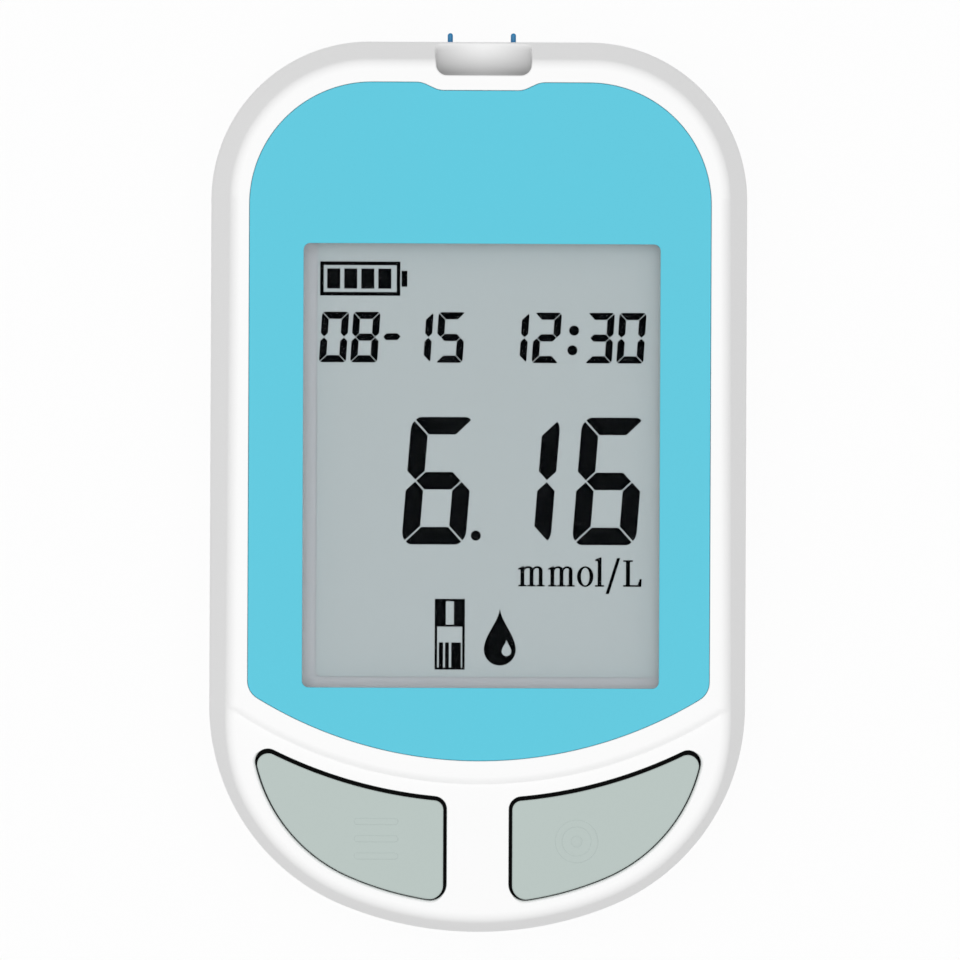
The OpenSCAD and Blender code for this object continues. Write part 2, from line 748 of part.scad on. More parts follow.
// dir is the direction in which the positive end points
module cell(x, dir) {
  nub_l = 0.9;
  nub_r = 1.9;
  start = bay_y - dir * (bay_l / 2 - plate_t - leaf_l - 0.05);
  translate([x, start, cell_z]) rotate([-90 * dir, 0, 0]) rotate_extrude()
    polygon([[0, 0.15], [3.4, 0.15], [3.7, 0], [cell_d / 2 - 0.35, 0], [cell_d / 2, 0.35],
             [cell_d / 2, cell_l - nub_l - 0.35], [cell_d / 2 - 0.35, cell_l - nub_l],
             [nub_r + 0.2, cell_l - nub_l], [nub_r, cell_l - nub_l + 0.2],
             [nub_r, cell_l - 0.2], [nub_r - 0.2, cell_l], [0, cell_l]]);
}

module cell_left() color("slategray") {
  cell(-cell_pitch / 2, 1);
}

module cell_right() color("slategray") {
  cell(cell_pitch / 2, -1);
}

// Plate against the end wall at x, facing along dir
module contact_plate(x, w, dir) {
  translate([x, bay_y - dir * (bay_l / 2 - plate_t / 2), cell_z]) rotate([90, 0, 0])
    linear_extrude(plate_t - 0.05, center = true) rounded_rect(w, contact_w, 1);
}

// Bowed leaf in front of a plate
module contact_leaf(x, dir) {
  base = bay_l / 2 - plate_t;
  t = 0.3;
  translate([x, bay_y - dir * base, cell_z]) scale([1, dir, 1]) rotate([90, 0, 90])
    linear_extrude(4, center = true)
      polygon([[-eps - 0.05, -3], [-eps - 0.05, -2.6], [leaf_l * 0.6, -1.2], [leaf_l, 0.2],
               [leaf_l * 0.85, 1.5], [leaf_l * 0.4, 2.4], [leaf_l * 0.4 - t, 2.2],
               [leaf_l * 0.8 - t, 1.3], [leaf_l - t, 0.2], [leaf_l * 0.6 - t, -1],
               [t, -2.3], [-eps - 0.05, -2]]);
}

module end_contacts() color("silver") {
  contact_plate(-cell_pitch / 2, contact_w, 1);
  contact_leaf(-cell_pitch / 2, 1);
  contact_plate(cell_pitch / 2, contact_w, 1);
}

module link_contact() color("silver") {
  contact_plate(0, cell_pitch + contact_w, -1);
  contact_leaf(cell_pitch / 2, -1);
}

// ---- Fasteners -----------------------------------------------------------

// Cross-head screw, head down, seated at height z
module screw(p, z, d, l) {
  head_r = d * head_share;
  head_h = d * 0.65;
  difference() {
    translate([p.x, p.y, z - head_h]) rotate_extrude()
      polygon([[0, 0], [head_r * 0.7, 0], [head_r, head_h * 0.45], [head_r, head_h], [d / 2, head_h],
               [d / 2, head_h + l - 0.4], [d / 4, head_h + l], [0, head_h + l]]);
    for (turn = [0, 90])
      translate([p.x, p.y, z - head_h]) rotate([0, 0, turn])
        box(head_r * 1.2, d * 0.22, -1, head_h * 0.55);
  }
}

module housing_screws() color("silver") {
  for (p = housing_screw_at) screw(p, head_seat_z, screw_d, housing_screw_l);
}

module board_screws() color("silver") {
  for (p = board_screw_at) screw(p, board_low_z, board_screw_d, board_t + board_screw_bite);
}

front_housing();
rear_housing();
fascia_panel();
display_lens();
lcd_gasket();
lcd_polariser();
lcd_front_glass();
lcd_rear_glass();
lcd_reflector();
lcd_carrier();
lcd_connector();
main_board();
board_chips();
buzzer();
button_left();
button_right();
switch_bases();
switch_plunger_left();
switch_plunger_right();
strip_guide();
strip_connector();
strip_contacts();
battery_door();
cell_left();
cell_right();
end_contacts();
link_contact();
housing_screws();
board_screws();
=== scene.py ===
from math import asin, atan2, ceil, cos, degrees, dist, hypot, pi, radians, sin, sqrt, tan

import bmesh
import bpy
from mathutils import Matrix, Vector
from mathutils.bvhtree import BVHTree
from mathutils.geometry import delaunay_2d_cdt


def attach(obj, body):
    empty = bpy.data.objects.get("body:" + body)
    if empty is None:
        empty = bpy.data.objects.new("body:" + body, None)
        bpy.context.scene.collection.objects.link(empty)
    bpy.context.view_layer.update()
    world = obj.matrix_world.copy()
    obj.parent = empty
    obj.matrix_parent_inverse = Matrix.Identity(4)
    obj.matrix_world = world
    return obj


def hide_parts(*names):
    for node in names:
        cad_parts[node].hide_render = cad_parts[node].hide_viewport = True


# Blood glucose meter. Lengths are millimetres until mesh_of() turns them into metres.
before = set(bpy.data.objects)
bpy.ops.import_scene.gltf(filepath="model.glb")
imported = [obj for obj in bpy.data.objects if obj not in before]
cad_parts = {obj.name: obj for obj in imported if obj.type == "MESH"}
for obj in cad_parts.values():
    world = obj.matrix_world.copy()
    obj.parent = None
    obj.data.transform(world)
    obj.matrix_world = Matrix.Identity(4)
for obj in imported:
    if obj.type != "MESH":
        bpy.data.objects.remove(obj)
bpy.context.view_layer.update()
MM = 0.001

# Sizes of the solids, with the buttons, crease and fascia fitted more finely
HALF_W, HALF_L, BODY_H = 28.0, 46.5, 21.0
LOW_FACE_Z, PARTING_Z, FLARE_Z = 20.6, 10.0, 14.0
RECESS_Z, FASCIA_Z, LENS_SEAT_Z, CEILING_Z = 20.3, 20.9, 19.9, 19.0
BOARD_Z, BOARD_LOW_Z = 14.6, 13.4
WALL, PLAY = 1.8, 0.1
TOP_R, LOW_R, END_R = 16.5, 22.5, 37.0
TOP_C = (HALF_W - TOP_R, HALF_L - TOP_R)
END_CY = END_R - HALF_L
LOW_CX = HALF_W - LOW_R
LOW_CY = END_CY - sqrt((END_R - LOW_R) ** 2 - LOW_CX ** 2)
LOW_TURN = degrees(atan2(END_CY - LOW_CY, LOW_CX))
FASCIA_CY, FASCIA_R = 15.8, 44.33
CREASE_R, CREASE_W = 46.8, 0.85
BUTTON_CY, BUTTON_R = 15.85, 48.31
EDGE_R, EDGE_LOW_R, EDGE_TURN = 33.98, 16.94, 66.835
WINDOW = (0.2, 2.2, 37.2, 46.3)
PORT_Z, GUIDE_W, GUIDE_H = 11.55, 9.2, 2.9
BAY_Y, BAY_W, BAY_L, BAY_TOP_Z = 1.0, 21.8, 49.6, 12.575
DOOR_W, DOOR_L, DOOR_T = 23.6, 56.6, 1.6
DOOR_TOP_Y, DOOR_LOW_Y = BAY_Y + DOOR_L / 2, BAY_Y - DOOR_L / 2
CELL_Z, CELL_D, CELL_L, CELL_X = 7.2, 10.5, 44.5, 5.4
SCREWS = [(-18, 35), (18, 35), (0, -38.5)]
POSTS = [(-12, 31.2), (12, 31.2), (-6, -28.8), (6, -28.8)]
BUZZER = (18.425, 8.0)
# Below this height the cap's colour is painted black, as shadow in the gap round the cap
PAINTED_SHADOW_Z = 19.8
SCOOP_X = 0.3
TONGUE_X, TONGUE_W = 6, 4


def cosd(a):
    return cos(radians(a))


def sind(a):
    return sin(radians(a))


def tand(a):
    return tan(radians(a))


def bearing(y, x):
    return degrees(atan2(y, x))


def smooth(t):
    t = min(1.0, max(0.0, t))
    return t * t * (3 - 2 * t)


# Outlines made of arcs

SAME = 1e-4


def place_of(spot):
    x, y, r, c, s, _ = spot
    return x + r * c, y + r * s


class Outline:
    """Closed outline, anticlockwise from above. Each arc is (centre x, centre y, radius, from, to) in degrees,
    and straight lines join them. An arc that turns clockwise bends inwards."""

    def __init__(self, arcs, chord=0.3, turn=7.5):
        self.spots = []
        for x, y, r, a0, a1 in arcs:
            steps = max(1, ceil(abs(a1 - a0) / turn), ceil(radians(abs(a1 - a0)) * r / chord))
            side = 1 if a1 > a0 else -1
            for i in range(steps + 1):
                a = radians(a0 + (a1 - a0) * i / steps)
                spot = (x, y, r, cos(a), sin(a), side)
                if not self.spots or dist(place_of(spot), place_of(self.spots[-1])) >= SAME:
                    self.spots.append(spot)
        if dist(place_of(self.spots[0]), place_of(self.spots[-1])) < SAME:
            self.spots.pop()

    def points(self, grow=0.0):
        """Points of the outline, moved outwards by grow, a number or a function of the point."""
        out = []
        for spot in self.spots:
            x, y, r, c, s, side = spot
            g = grow(*place_of(spot)) if callable(grow) else grow
            out.append((x + (r + side * g) * c, y + (r + side * g) * s))
        return out

    def ring(self, z, grow=0.0):
        return [(x, y, z) for x, y in self.points(grow)]


def rounded_rect(cx, cy, w, l, r):
    x, y = w / 2 - r, l / 2 - r
    return Outline([(cx + x, cy + y, r, 0, 90), (cx - x, cy + y, r, 90, 180),
                    (cx - x, cy - y, r, 180, 270), (cx + x, cy - y, r, 270, 360)])


def disc(x, y, r, turn=7.5):
    return Outline([(x, y, r, 0, 360)], turn=turn)


def window(wider, r):
    """The window with its corners rounded by r, made wider and longer."""
    x, y, w, l = WINDOW
    return rounded_rect(x, y, w + wider, l + wider, r)


BODY = Outline([(*TOP_C, TOP_R, 0, 90), (-TOP_C[0], TOP_C[1], TOP_R, 90, 180),
                (-LOW_CX, LOW_CY, LOW_R, 180, 180 + LOW_TURN),
                (0, END_CY, END_R, 180 + LOW_TURN, 360 - LOW_TURN),
                (LOW_CX, LOW_CY, LOW_R, 360 - LOW_TURN, 360)], chord=0.3, turn=1.5)


def fascia_outline():
    """Panel with a wide lower arc, two tight lower corners and a shallow dip under the scoop."""
    top, side, corner, low_r = 42.15, 24.05, 12.75, 2.1
    low_x = side - low_r
    low_y = FASCIA_CY - sqrt((FASCIA_R - low_r) ** 2 - low_x ** 2)
    low_a = bearing(low_y - FASCIA_CY, low_x)
    slope, outer_r, inner_r, dip_h = 25.0, 2.4, 2.4, 0.85
    run = outer_r * sind(slope) + inner_r * sind(slope)
    drop = (outer_r + inner_r) * (1 - cosd(slope))
    straight = (dip_h - drop) / tand(slope)
    out_x = 5.3 + (run + straight) / 2
    in_x = out_x - run - straight
    cx, cy = side - corner, top - corner
    right = [(cx, cy, corner, 0, 90), (out_x, top - outer_r, outer_r, 90, 90 + slope),
             (in_x, top - dip_h + inner_r, inner_r, slope - 90, -90)]
    left = [(-x, y, r, 180 - end, 180 - start) for x, y, r, start, end in reversed(right)]
    return Outline([
        *right, *left, (-low_x, low_y, low_r, 180, 180 - low_a),
        (0, FASCIA_CY, FASCIA_R, 180 - low_a, 360 + low_a),
        (low_x, low_y, low_r, low_a, 0)], chord=0.5, turn=5)


def edge_centre(d):
    """Centre of the tighter arc that a button's outer edge ends in."""
    return d * cosd(EDGE_TURN), END_CY - d * sind(EDGE_TURN)


def button_outline(a, b):
    """Right-hand button, its upper and inner edges a and its outer edge about b inside the opening."""
    upper_r = BUTTON_R + max(a, 1.2 * a)
    inner_x = 3.24 + a
    end_r = EDGE_R - 0.7 * b
    low_r = EDGE_LOW_R - 1.3 * b
    low_x, low_y = edge_centre(end_r - low_r)
    tip_r = 1.33 - (a + b) / 3
    high_r = 1.35 - a
    deep_r = 1.7 - (a + b) / 2

    def meet(c1, r1, c2, r2):
        dx, dy = c2[0] - c1[0], c2[1] - c1[1]
        l = hypot(dx, dy)
        k = (r1 * r1 - r2 * r2 + l * l) / (2 * l)
        h = sqrt(r1 * r1 - k * k)
        return c1[0] + k * dx / l - h * dy / l, c1[1] + k * dy / l + h * dx / l

    tip = meet((0, BUTTON_CY), upper_r + tip_r, (low_x, low_y), low_r - tip_r)
    high = (inner_x + high_r, BUTTON_CY - sqrt((upper_r + high_r) ** 2 - (inner_x + high_r) ** 2))
    deep = (inner_x + deep_r, END_CY - sqrt((end_r - deep_r) ** 2 - (inner_x + deep_r) ** 2))
    tip_up = bearing(BUTTON_CY - tip[1], -tip[0])
    tip_out = bearing(tip[1] - low_y, tip[0] - low_x)
    high_up = bearing(BUTTON_CY - high[1], -high[0])
    deep_out = bearing(deep[1] - END_CY, deep[0])
    return Outline([(*tip, tip_r, tip_out, tip_up), (0, BUTTON_CY, upper_r, tip_up - 180, high_up - 180),
                    (*high, high_r, high_up, 180), (*deep, deep_r, 180, 360 + deep_out),
                    (0, END_CY, end_r, deep_out, -EDGE_TURN),
                    (low_x, low_y, low_r, -EDGE_TURN, tip_out)], chord=0.5, turn=10)


# Mesh making


def bar(x0, y0, x1, y1):
    return [(x0, y0), (x1, y0), (x1, y1), (x0, y1)]


def new_object(name, data):
    piece = bpy.data.objects.new(name, data)
    bpy.context.scene.collection.objects.link(piece)
    return piece


def mesh_of(points, faces):
    mesh = bpy.data.meshes.new("piece")
    mesh.from_pydata([(x * MM, y * MM, z * MM) for x, y, z in points], [], faces)
    mesh.validate()
    return new_object("piece", mesh)


def between(rings):
    """Points of rings of equal length, and the faces that join each ring to the next."""
    n = len(rings[0])
    faces = [(a + (i - 1) % n, a + i, a + i + n, a + (i - 1) % n + n)
             for a in range(0, (len(rings) - 1) * n, n) for i in range(n)]
    return [p for ring in rings for p in ring], faces


def loft(rings):
    """Closed solid through rings of equal length, lowest first."""
    points, faces = between(rings)
    n = len(rings[0])
    return mesh_of(points, [*faces, tuple(range(n - 1, -1, -1)), tuple(range(len(points) - n, len(points)))])


def stack(outline, levels):
    """Closed solid through copies of an outline, at each level's height and grown by its growth."""
    return loft([outline.ring(z, g) for z, g in levels])


def block(outline, z0, z1, grow=0.0, low_r=0.0, top_r=0.0):
    """Upright solid on an outline, its lower and upper edges rounded."""
    levels = [(z0 + low_r * (1 - cosd(a)), grow - low_r * (1 - sind(a))) for a in (0, 22.5, 45, 67.5) if low_r]
    levels += [(z0 + low_r, grow), (z1 - top_r, grow)]
    levels += [(z1 - top_r * (1 - sind(a)), grow - top_r * (1 - cosd(a))) for a in (22.5, 45, 67.5, 90) if top_r]
    return stack(outline, levels)


def prism(ring, z0, z1):
    """Upright solid on a ring of points."""
    return loft([[(x, y, z) for x, y in ring] for z in (z0, z1)])


def box(half, y0, y1, z0, z1, edge=0.0, x=0.0):
    """Block that reaches half to either side of x, its long edges rounded by edge."""
    if not edge:
        return prism(bar(x - half, y0, x + half, y1), z0, z1)
    return block(rounded_rect(x, (y0 + y1) / 2, 2 * half, y1 - y0, edge * 1.01), z0, z1, 0, edge, edge)


def cutter(outline, inner_z, face_z, grow=0.0, rim=0.15, share=None):
    """Cutting block from inner_z out through the face at face_z. It flares there, so the rim comes out rounded.
    share(x, y) says how much of the flare a spot of the outline gets."""
    up = 1 if face_z > inner_z else -1
    levels = [(inner_z, grow), (face_z - up * rim, grow)]
    for a in (22, 44, 66):
        levels.append((face_z - up * rim * (1 - sind(a)), grow + rim * (1 - cosd(a))))
    g = levels[-1][1] + tand(66) * (rim * (1 - sind(66)) + 0.02)
    levels += [(face_z + up * 0.02, g), (face_z + up * 3, g)]
    if up < 0:
        levels.reverse()
    share = share or (lambda x, y: 1)
    return stack(outline, [(z, lambda x, y, g=g: g * share(x, y)) for z, g in levels])


def pegs(places, r, z0, z1):
    """One round block at each place."""
    return [block(disc(x, y, r), z0, z1) for x, y in places]


def sideways(profile, half, x=0.0):
    """Solid with a profile of (y, z) points that reaches half to either side of x."""
    return outwards(loft([[(side, y, z) for y, z in profile] for side in (x - half, x + half)]))


def turned(profile, centre, axis="Z", steps=48):
    """Solid of revolution. Profile holds (radius, height), from the lower end to the upper one."""
    x, y, z = centre
    ring = [(cos(2 * pi * i / steps), sin(2 * pi * i / steps)) for i in range(steps)]
    return outwards(loft([[(x + r * c, y + r * s, z + h) if axis == "Z" else (x + r * c, y + h, z - r * s)
                           for c, s in ring] for r, h in profile]))


def outwards(piece):
    b = bmesh.new()
    b.from_mesh(piece.data)
    bmesh.ops.remove_doubles(b, verts=b.verts, dist=1e-8)
    bmesh.ops.recalc_face_normals(b, faces=b.faces)
    b.to_mesh(piece.data)
    b.free()
    return piece


def baked(piece):
    """Replaces a piece's mesh by what its modifiers make of it."""
    bpy.context.view_layer.update()
    result = bpy.data.meshes.new_from_object(piece.evaluated_get(bpy.context.evaluated_depsgraph_get()))
    piece.modifiers.clear()
    piece.data = result
    return piece


def combine(piece, others, operation="DIFFERENCE"):
    for other in others:
        change = piece.modifiers.new("combine", "BOOLEAN")
        change.solver, change.operation, change.object = "MANIFOLD", operation, other
    baked(piece)
    for other in others:
        bpy.data.objects.remove(other)
    return piece


def cut(piece, *others):
    return combine(piece, others)


def add(piece, *others):
    return combine(piece, others, "UNION")


def dressed(piece, name, material, body="meter", node=None, angle=32):
    """Names, smooths and finishes a piece, hangs it on its body's empty and hides the solid that it stands for."""
    b = bmesh.new()
    b.from_mesh(piece.data)
    bmesh.ops.remove_doubles(b, verts=b.verts, dist=2e-7)
    bmesh.ops.dissolve_degenerate(b, edges=b.edges, dist=2e-7)
    bmesh.ops.dissolve_limit(b, angle_limit=radians(0.1), verts=b.verts, edges=b.edges, delimit={"UV"})
    b.to_mesh(piece.data)
    b.free()
    piece.data.polygons.foreach_set("use_smooth", [True] * len(piece.data.polygons))
    piece.data.set_sharp_from_angle(angle=radians(angle))
    weigh = piece.modifiers.new("faces first", "WEIGHTED_NORMAL")
    weigh.keep_sharp = True
    weigh.weight = 50
    baked(piece)
    piece.name = piece.data.name = name
    piece.data.materials.clear()
    piece.data.materials.append(material)
    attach(piece, body)
    if node:
        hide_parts(node)
    return piece


# Finishes


def linear(*rgb):
    """Colour from 0..255 screen values."""
    return (*[c / 255 / 12.92 if c <= 10 else ((c / 255 + 0.055) / 1.055) ** 2.4 for c in rgb], 1.0)


def feed(made, links):
    """Sets sockets. Each link holds a socket and its value, or the output that its value comes from."""
    for socket, source in links:
        if isinstance(source, bpy.types.NodeSocket):
            made.id_data.links.new(source, made.inputs[socket])
        else:
            made.inputs[socket].default_value = source


def node(tree, kind, links=(), **values):
    made = tree.nodes.new(kind)
    for key, value in values.items():
        setattr(made, key, value)
    feed(made, links)
    return made


def calc(operation, *values):
    tree = next(v.id_data for v in values if isinstance(v, bpy.types.NodeSocket))
    return node(tree, "ShaderNodeMath", enumerate(values), operation=operation).outputs[0]


def split(vector):
    return node(vector.id_data, "ShaderNodeSeparateXYZ", [(0, vector)]).outputs


def swing(value, amount, base):
    """base, moved by half of amount either way as value goes from 0 to 1."""
    return calc("MULTIPLY_ADD", calc("SUBTRACT", value, 0.5), amount, base)


def spread(value, low, high, top=1.0):
    """0 at low, rising to top at high."""
    return node(value.id_data, "ShaderNodeMapRange", [("Value", value), ("From Min", low), ("From Max", high),
                                                      ("To Max", top)]).outputs[0]


def scaled(colour, by):
    return node(colour.id_data, "ShaderNodeVectorMath", [(0, colour), (3, by)], operation="SCALE").outputs[0]


def blend(share, a, b):
    return node(share.id_data, "ShaderNodeMix", [(0, share), (6, a), (7, b)], data_type="RGBA").outputs[2]


def noise(vector, size, detail=2.0, rough=0.5):
    """Noise whose features are about size millimetres."""
    return node(vector.id_data, "ShaderNodeTexNoise", [("Vector", vector), ("Scale", 1 / (size * MM)),
                                                       ("Detail", detail), ("Roughness", rough)]).outputs["Fac"]


def group(name, inputs):
    """Shared finish. Its inputs are (label, kind, default), and it puts out colour, roughness and relief."""
    tree = bpy.data.node_groups.new(name, "ShaderNodeTree")
    for label, kind, default in (("Vector", "Vector", None), ("Colour", "Color", None), *inputs):
        socket = tree.interface.new_socket(label, in_out="INPUT", socket_type="NodeSocket" + kind)
        if default is not None:
            socket.default_value = default
    for label, kind in (("Colour", "Color"), ("Roughness", "Float"), ("Height", "Float")):
        tree.interface.new_socket(label, in_out="OUTPUT", socket_type="NodeSocket" + kind)
    return tree, tree.nodes.new("NodeGroupInput").outputs, tree.nodes.new("NodeGroupOutput")


def moulded_skin_group():
    """Fine spark texture of a mould, with slow changes of shade and gloss and a few dull specks."""
    tree, given, result = group("moulded_skin", [
        ("Shade", "Float", 0.02), ("Roughness", "Float", 0.4), ("Gloss change", "Float", 0.08),
        ("Speck", "Float", 0.2)])
    slow = noise(given["Vector"], 14, 3.0)
    fine = noise(given["Vector"], 0.35, 2.0, 0.6)
    spark = noise(given["Vector"], 0.09, 1.0)
    shade = swing(slow, given["Shade"], 1.0)
    shade = swing(fine, calc("MULTIPLY", given["Shade"], 0.6), shade)
    gloss = swing(slow, given["Gloss change"], given["Roughness"])
    gloss = calc("MULTIPLY_ADD", spread(fine, 0.66, 0.8), calc("MULTIPLY", given["Speck"], 0.3), gloss)
    feed(result, [("Colour", scaled(given["Colour"], shade)), ("Roughness", gloss),
                  ("Height", calc("MULTIPLY_ADD", fine, 0.5, spark))])
    return tree


def drawn_metal_group():
    """Fine lines along one direction, as on drawn or stamped sheet, with dull patches."""
    tree, given, result = group("drawn_metal", [("Stretch", "Vector", (1.0, 1.0, 1.0)), ("Roughness", "Float", 0.25)])
    lines = node(tree, "ShaderNodeVectorMath", [(0, given["Vector"]), (1, given["Stretch"])], operation="MULTIPLY")
    grain = noise(lines.outputs[0], 0.25, 3.0, 0.6)
    patch = noise(given["Vector"], 2.5, 2.0)
    gloss = calc("ADD", grain, calc("SUBTRACT", patch, 1.0))
    feed(result, [("Colour", scaled(given["Colour"], swing(patch, 0.25, 1.0))),
                  ("Roughness", calc("MULTIPLY_ADD", gloss, 0.3, given["Roughness"])), ("Height", grain)])
    return tree


SKIN = moulded_skin_group()
METAL = drawn_metal_group()


def bare_tree(owner):
    """Empty node tree of a material or world."""
    owner.use_nodes = True
    owner.node_tree.nodes.clear()
    return owner.node_tree


def start_material(name):
    material = bpy.data.materials.new(name)
    tree = bare_tree(material)
    shader = tree.nodes.new("ShaderNodeBsdfPrincipled")
    node(tree, "ShaderNodeOutputMaterial", [(0, shader.outputs[0])])
    return material, tree, shader, tree.nodes.new("ShaderNodeTexCoord").outputs["Object"]


def bump(shader, height, depth):
    """Relief of depth millimetres."""
    made = node(shader.id_data, "ShaderNodeBump", [("Height", height), ("Distance", depth * MM), ("Strength", 1.0)])
    feed(shader, [("Normal", made.outputs[0])])


def finished(name, shared, given, depth, own, shade_paint=None):
    """Material with a shared finish. own holds the shader's own values, and the last argument paints shade into the
    colour by place.
    """
    material, tree, shader, where = start_material(name)
    finish = node(tree, "ShaderNodeGroup", [("Vector", where), *given], node_tree=shared).outputs
    colour = shade_paint(where, finish["Colour"]) if shade_paint else finish["Colour"]
    feed(shader, [("Base Color", colour), ("Roughness", finish["Roughness"]), *own])
    bump(shader, finish["Height"], depth)
    return material


def plastic(name, colour, roughness=0.4, shade=0.03, gloss_change=0.1, speck=0.2, depth=0.004, specular=0.5,
            sheen=0.0, shade_paint=None):
    given = [("Colour", colour), ("Shade", shade), ("Roughness", roughness), ("Gloss change", gloss_change),
             ("Speck", speck)]
    return finished(name, SKIN, given, depth, [("Specular IOR Level", specular), ("Sheen Weight", sheen)], shade_paint)


def metal(name, colour, stretch, roughness, depth=0.002):
    given = [("Colour", colour), ("Stretch", stretch), ("Roughness", roughness)]
    return finished(name, METAL, given, depth, [("Metallic", 1.0)])


def clear_lens():
    """Clear acrylic with an anti-glare coat. Light for shadows and soft light passes it unbent."""
    material, tree, shader, where = start_material("clear_acrylic")
    feed(shader, [("Transmission Weight", 1.0), ("IOR", 1.07), ("Base Color", (1, 1, 1, 1)),
                  ("Roughness", spread(noise(where, 9, 3.0), 0.0, 1.0, 0.02))])
    path = tree.nodes.new("ShaderNodeLightPath").outputs
    passing = calc("MAXIMUM", path["Is Shadow Ray"], path["Is Diffuse Ray"])
    through = tree.nodes.new("ShaderNodeBsdfTransparent")
    mix = node(tree, "ShaderNodeMixShader", [(0, passing), (1, shader.outputs[0]), (2, through.outputs[0])])
    feed(next(n for n in tree.nodes if n.type == "OUTPUT_MATERIAL"), [(0, mix.outputs[0])])
    return material


def circuit_board():
    """Green solder mask over copper tracks that run both ways."""
    material, tree, shader, where = start_material("solder_mask")
    x, y, _ = split(where)
    jog = calc("GREATER_THAN", noise(where, 7, 0.0), 0.5)
    masks, pitch = [], 1.6 * MM
    for line, other in ((x, y), (y, x)):
        row = calc("DIVIDE", calc("MULTIPLY_ADD", jog, 1.1 * MM, line), pitch)
        wave = calc("ABSOLUTE", calc("SUBTRACT", calc("FRACT", row), 0.5))
        spot = node(tree, "ShaderNodeCombineXYZ", [(0, calc("FLOOR", row)), (1, calc("MULTIPLY", other, 90.0))])
        there = calc("GREATER_THAN", noise(spot.outputs[0], 1000.0, 0.0), 0.52)
        masks.append(calc("MULTIPLY", calc("LESS_THAN", wave, 0.13), there))
    track = calc("MAXIMUM", *masks)
    grain = noise(where, 0.2)
    feed(shader, [("Base Color", blend(track, linear(20, 82, 48), linear(48, 122, 70))),
                  ("Roughness", calc("MULTIPLY_ADD", grain, 0.15, 0.25))])
    bump(shader, calc("MULTIPLY_ADD", grain, 0.1, track), 0.02)
    return material


def cell_label():
    """Printed sleeve of a cell: dark body, pale band at the plus end. The piece's UV runs along the cell."""
    material, tree, shader, where = start_material("cell_sleeve")
    along = split(node(tree, "ShaderNodeUVMap", uv_map="along").outputs[0])[1]
    grain = noise(where, 0.4)
    ramp = node(tree, "ShaderNodeValToRGB", [(0, along)])
    ramp.color_ramp.interpolation = "CONSTANT"
    points = ramp.color_ramp.elements
    can, dark, pale = linear(176, 178, 180), linear(34, 42, 58), linear(196, 200, 204)
    points[0].position, points[0].color = 0.0, can
    points[1].position, points[1].color = 0.02, dark
    for place, colour in ((0.72, pale), (0.735, linear(96, 150, 176)), (0.8, pale), (0.815, dark), (0.965, can)):
        points.new(place).color = colour
    shade = calc("MULTIPLY_ADD", noise(where, 6), 0.14, 0.93)
    bare = calc("MAXIMUM", calc("LESS_THAN", along, 0.02), calc("GREATER_THAN", along, 0.965))
    feed(shader, [("Base Color", scaled(ramp.outputs[0], shade)), ("Coat Weight", 0.3),
                  ("Metallic", calc("MULTIPLY", bare, 0.95)),
                  ("Roughness", calc("MULTIPLY_ADD", grain, 0.2, 0.2))])
    bump(shader, grain, 0.004)
    return material


def scoop_painted_shade(where, white):
    """Painted shade: darker in the scoop's bowl (the attribute depth), most at its inner wall and sides, standing in
    for the shade that falls in the hollow.
    """
    x, y, _ = split(where)
    deep = node(where.id_data, "ShaderNodeAttribute", attribute_name="depth").outputs["Fac"]
    back = calc("POWER", spread(y, 46.4 * MM, 43.2 * MM), 2.6)
    side = calc("ABSOLUTE", calc("MULTIPLY_ADD", x, 1 / (5.3 * MM), -SCOOP_X / 5.3))
    # how much painted shade each spot of the bowl gets, most at the inner wall and the sides
    dull = calc("MULTIPLY_ADD", calc("POWER", side, 1.6), 0.27, calc("MULTIPLY", back, 0.45))
    return scaled(white, calc("SUBTRACT", 1.0, calc("MULTIPLY", deep, dull)))


def skirt_painted_shadow(where, grey):
    """Painted shadow: black below the cap's face, where its skirt stands in the deep gap round the cap and only shade
    would show.
    """
    return blend(calc("LESS_THAN", split(where)[2], PAINTED_SHADOW_Z * MM), grey, linear(2, 2, 2))


# The white shell's colour is painted darker in the scoop's bowl as shade
WHITE = plastic("white_shell_plastic", linear(248, 248, 248), 0.5, 0.012, 0.08, 0.15, 0.0025, 0.35, shade_paint=scoop_painted_shade)
PRINT = plastic("cyan_screen_print", linear(87, 198, 220), 0.5, 0.035, 0.12, 0.3, 0.002, 0.3)
# The cap's skirt is painted black as shadow in the gap round it
CAP = plastic("grey_cap_plastic", linear(185, 197, 193), 0.55, 0.035, 0.1, 0.25, 0.003, 0.1, shade_paint=skirt_painted_shadow)
BLUE = plastic("blue_guide_plastic", linear(8, 120, 172), 0.35, 0.05, 0.1, 0.1, 0.003)
BLACK = plastic("black_housing_plastic", linear(26, 27, 29), 0.45, 0.1, 0.15, 0.3, 0.005)
SWITCH = plastic("switch_plastic", linear(38, 39, 42), 0.4, 0.1, 0.15, 0.3, 0.004)
IVORY = plastic("carrier_plastic", linear(222, 219, 206), 0.5, 0.04, 0.1, 0.2, 0.005)
FOAM = plastic("gasket_foam", linear(60, 61, 64), 0.95, 0.35, 0.02, 0.0, 0.05, 0.1, 0.2)
RUBBER = plastic("layered_rubber", linear(205, 205, 200), 0.7, 0.1, 0.05, 0.0, 0.004, 0.2)
CHIP = plastic("chip_resin", linear(34, 34, 35), 0.6, 0.15, 0.1, 0.4, 0.008, 0.3)
FILM = plastic("polariser_film", linear(169, 179, 181), 0.42, 0.012, 0.06, 0.1, 0.0008, 0.2)
REFLECTOR = plastic("reflector_film", linear(205, 208, 208), 0.35, 0.02, 0.05, 0.1, 0.002, 0.6)
GLASS = plastic("display_glass", linear(177, 180, 184), 0.12, 0.015, 0.02, 0.05, 0.0005, 0.25)
INK = plastic("display_segments", linear(2, 3, 4), 0.6, 0.05, 0.02, 0.0, 0.0005, 0.0)
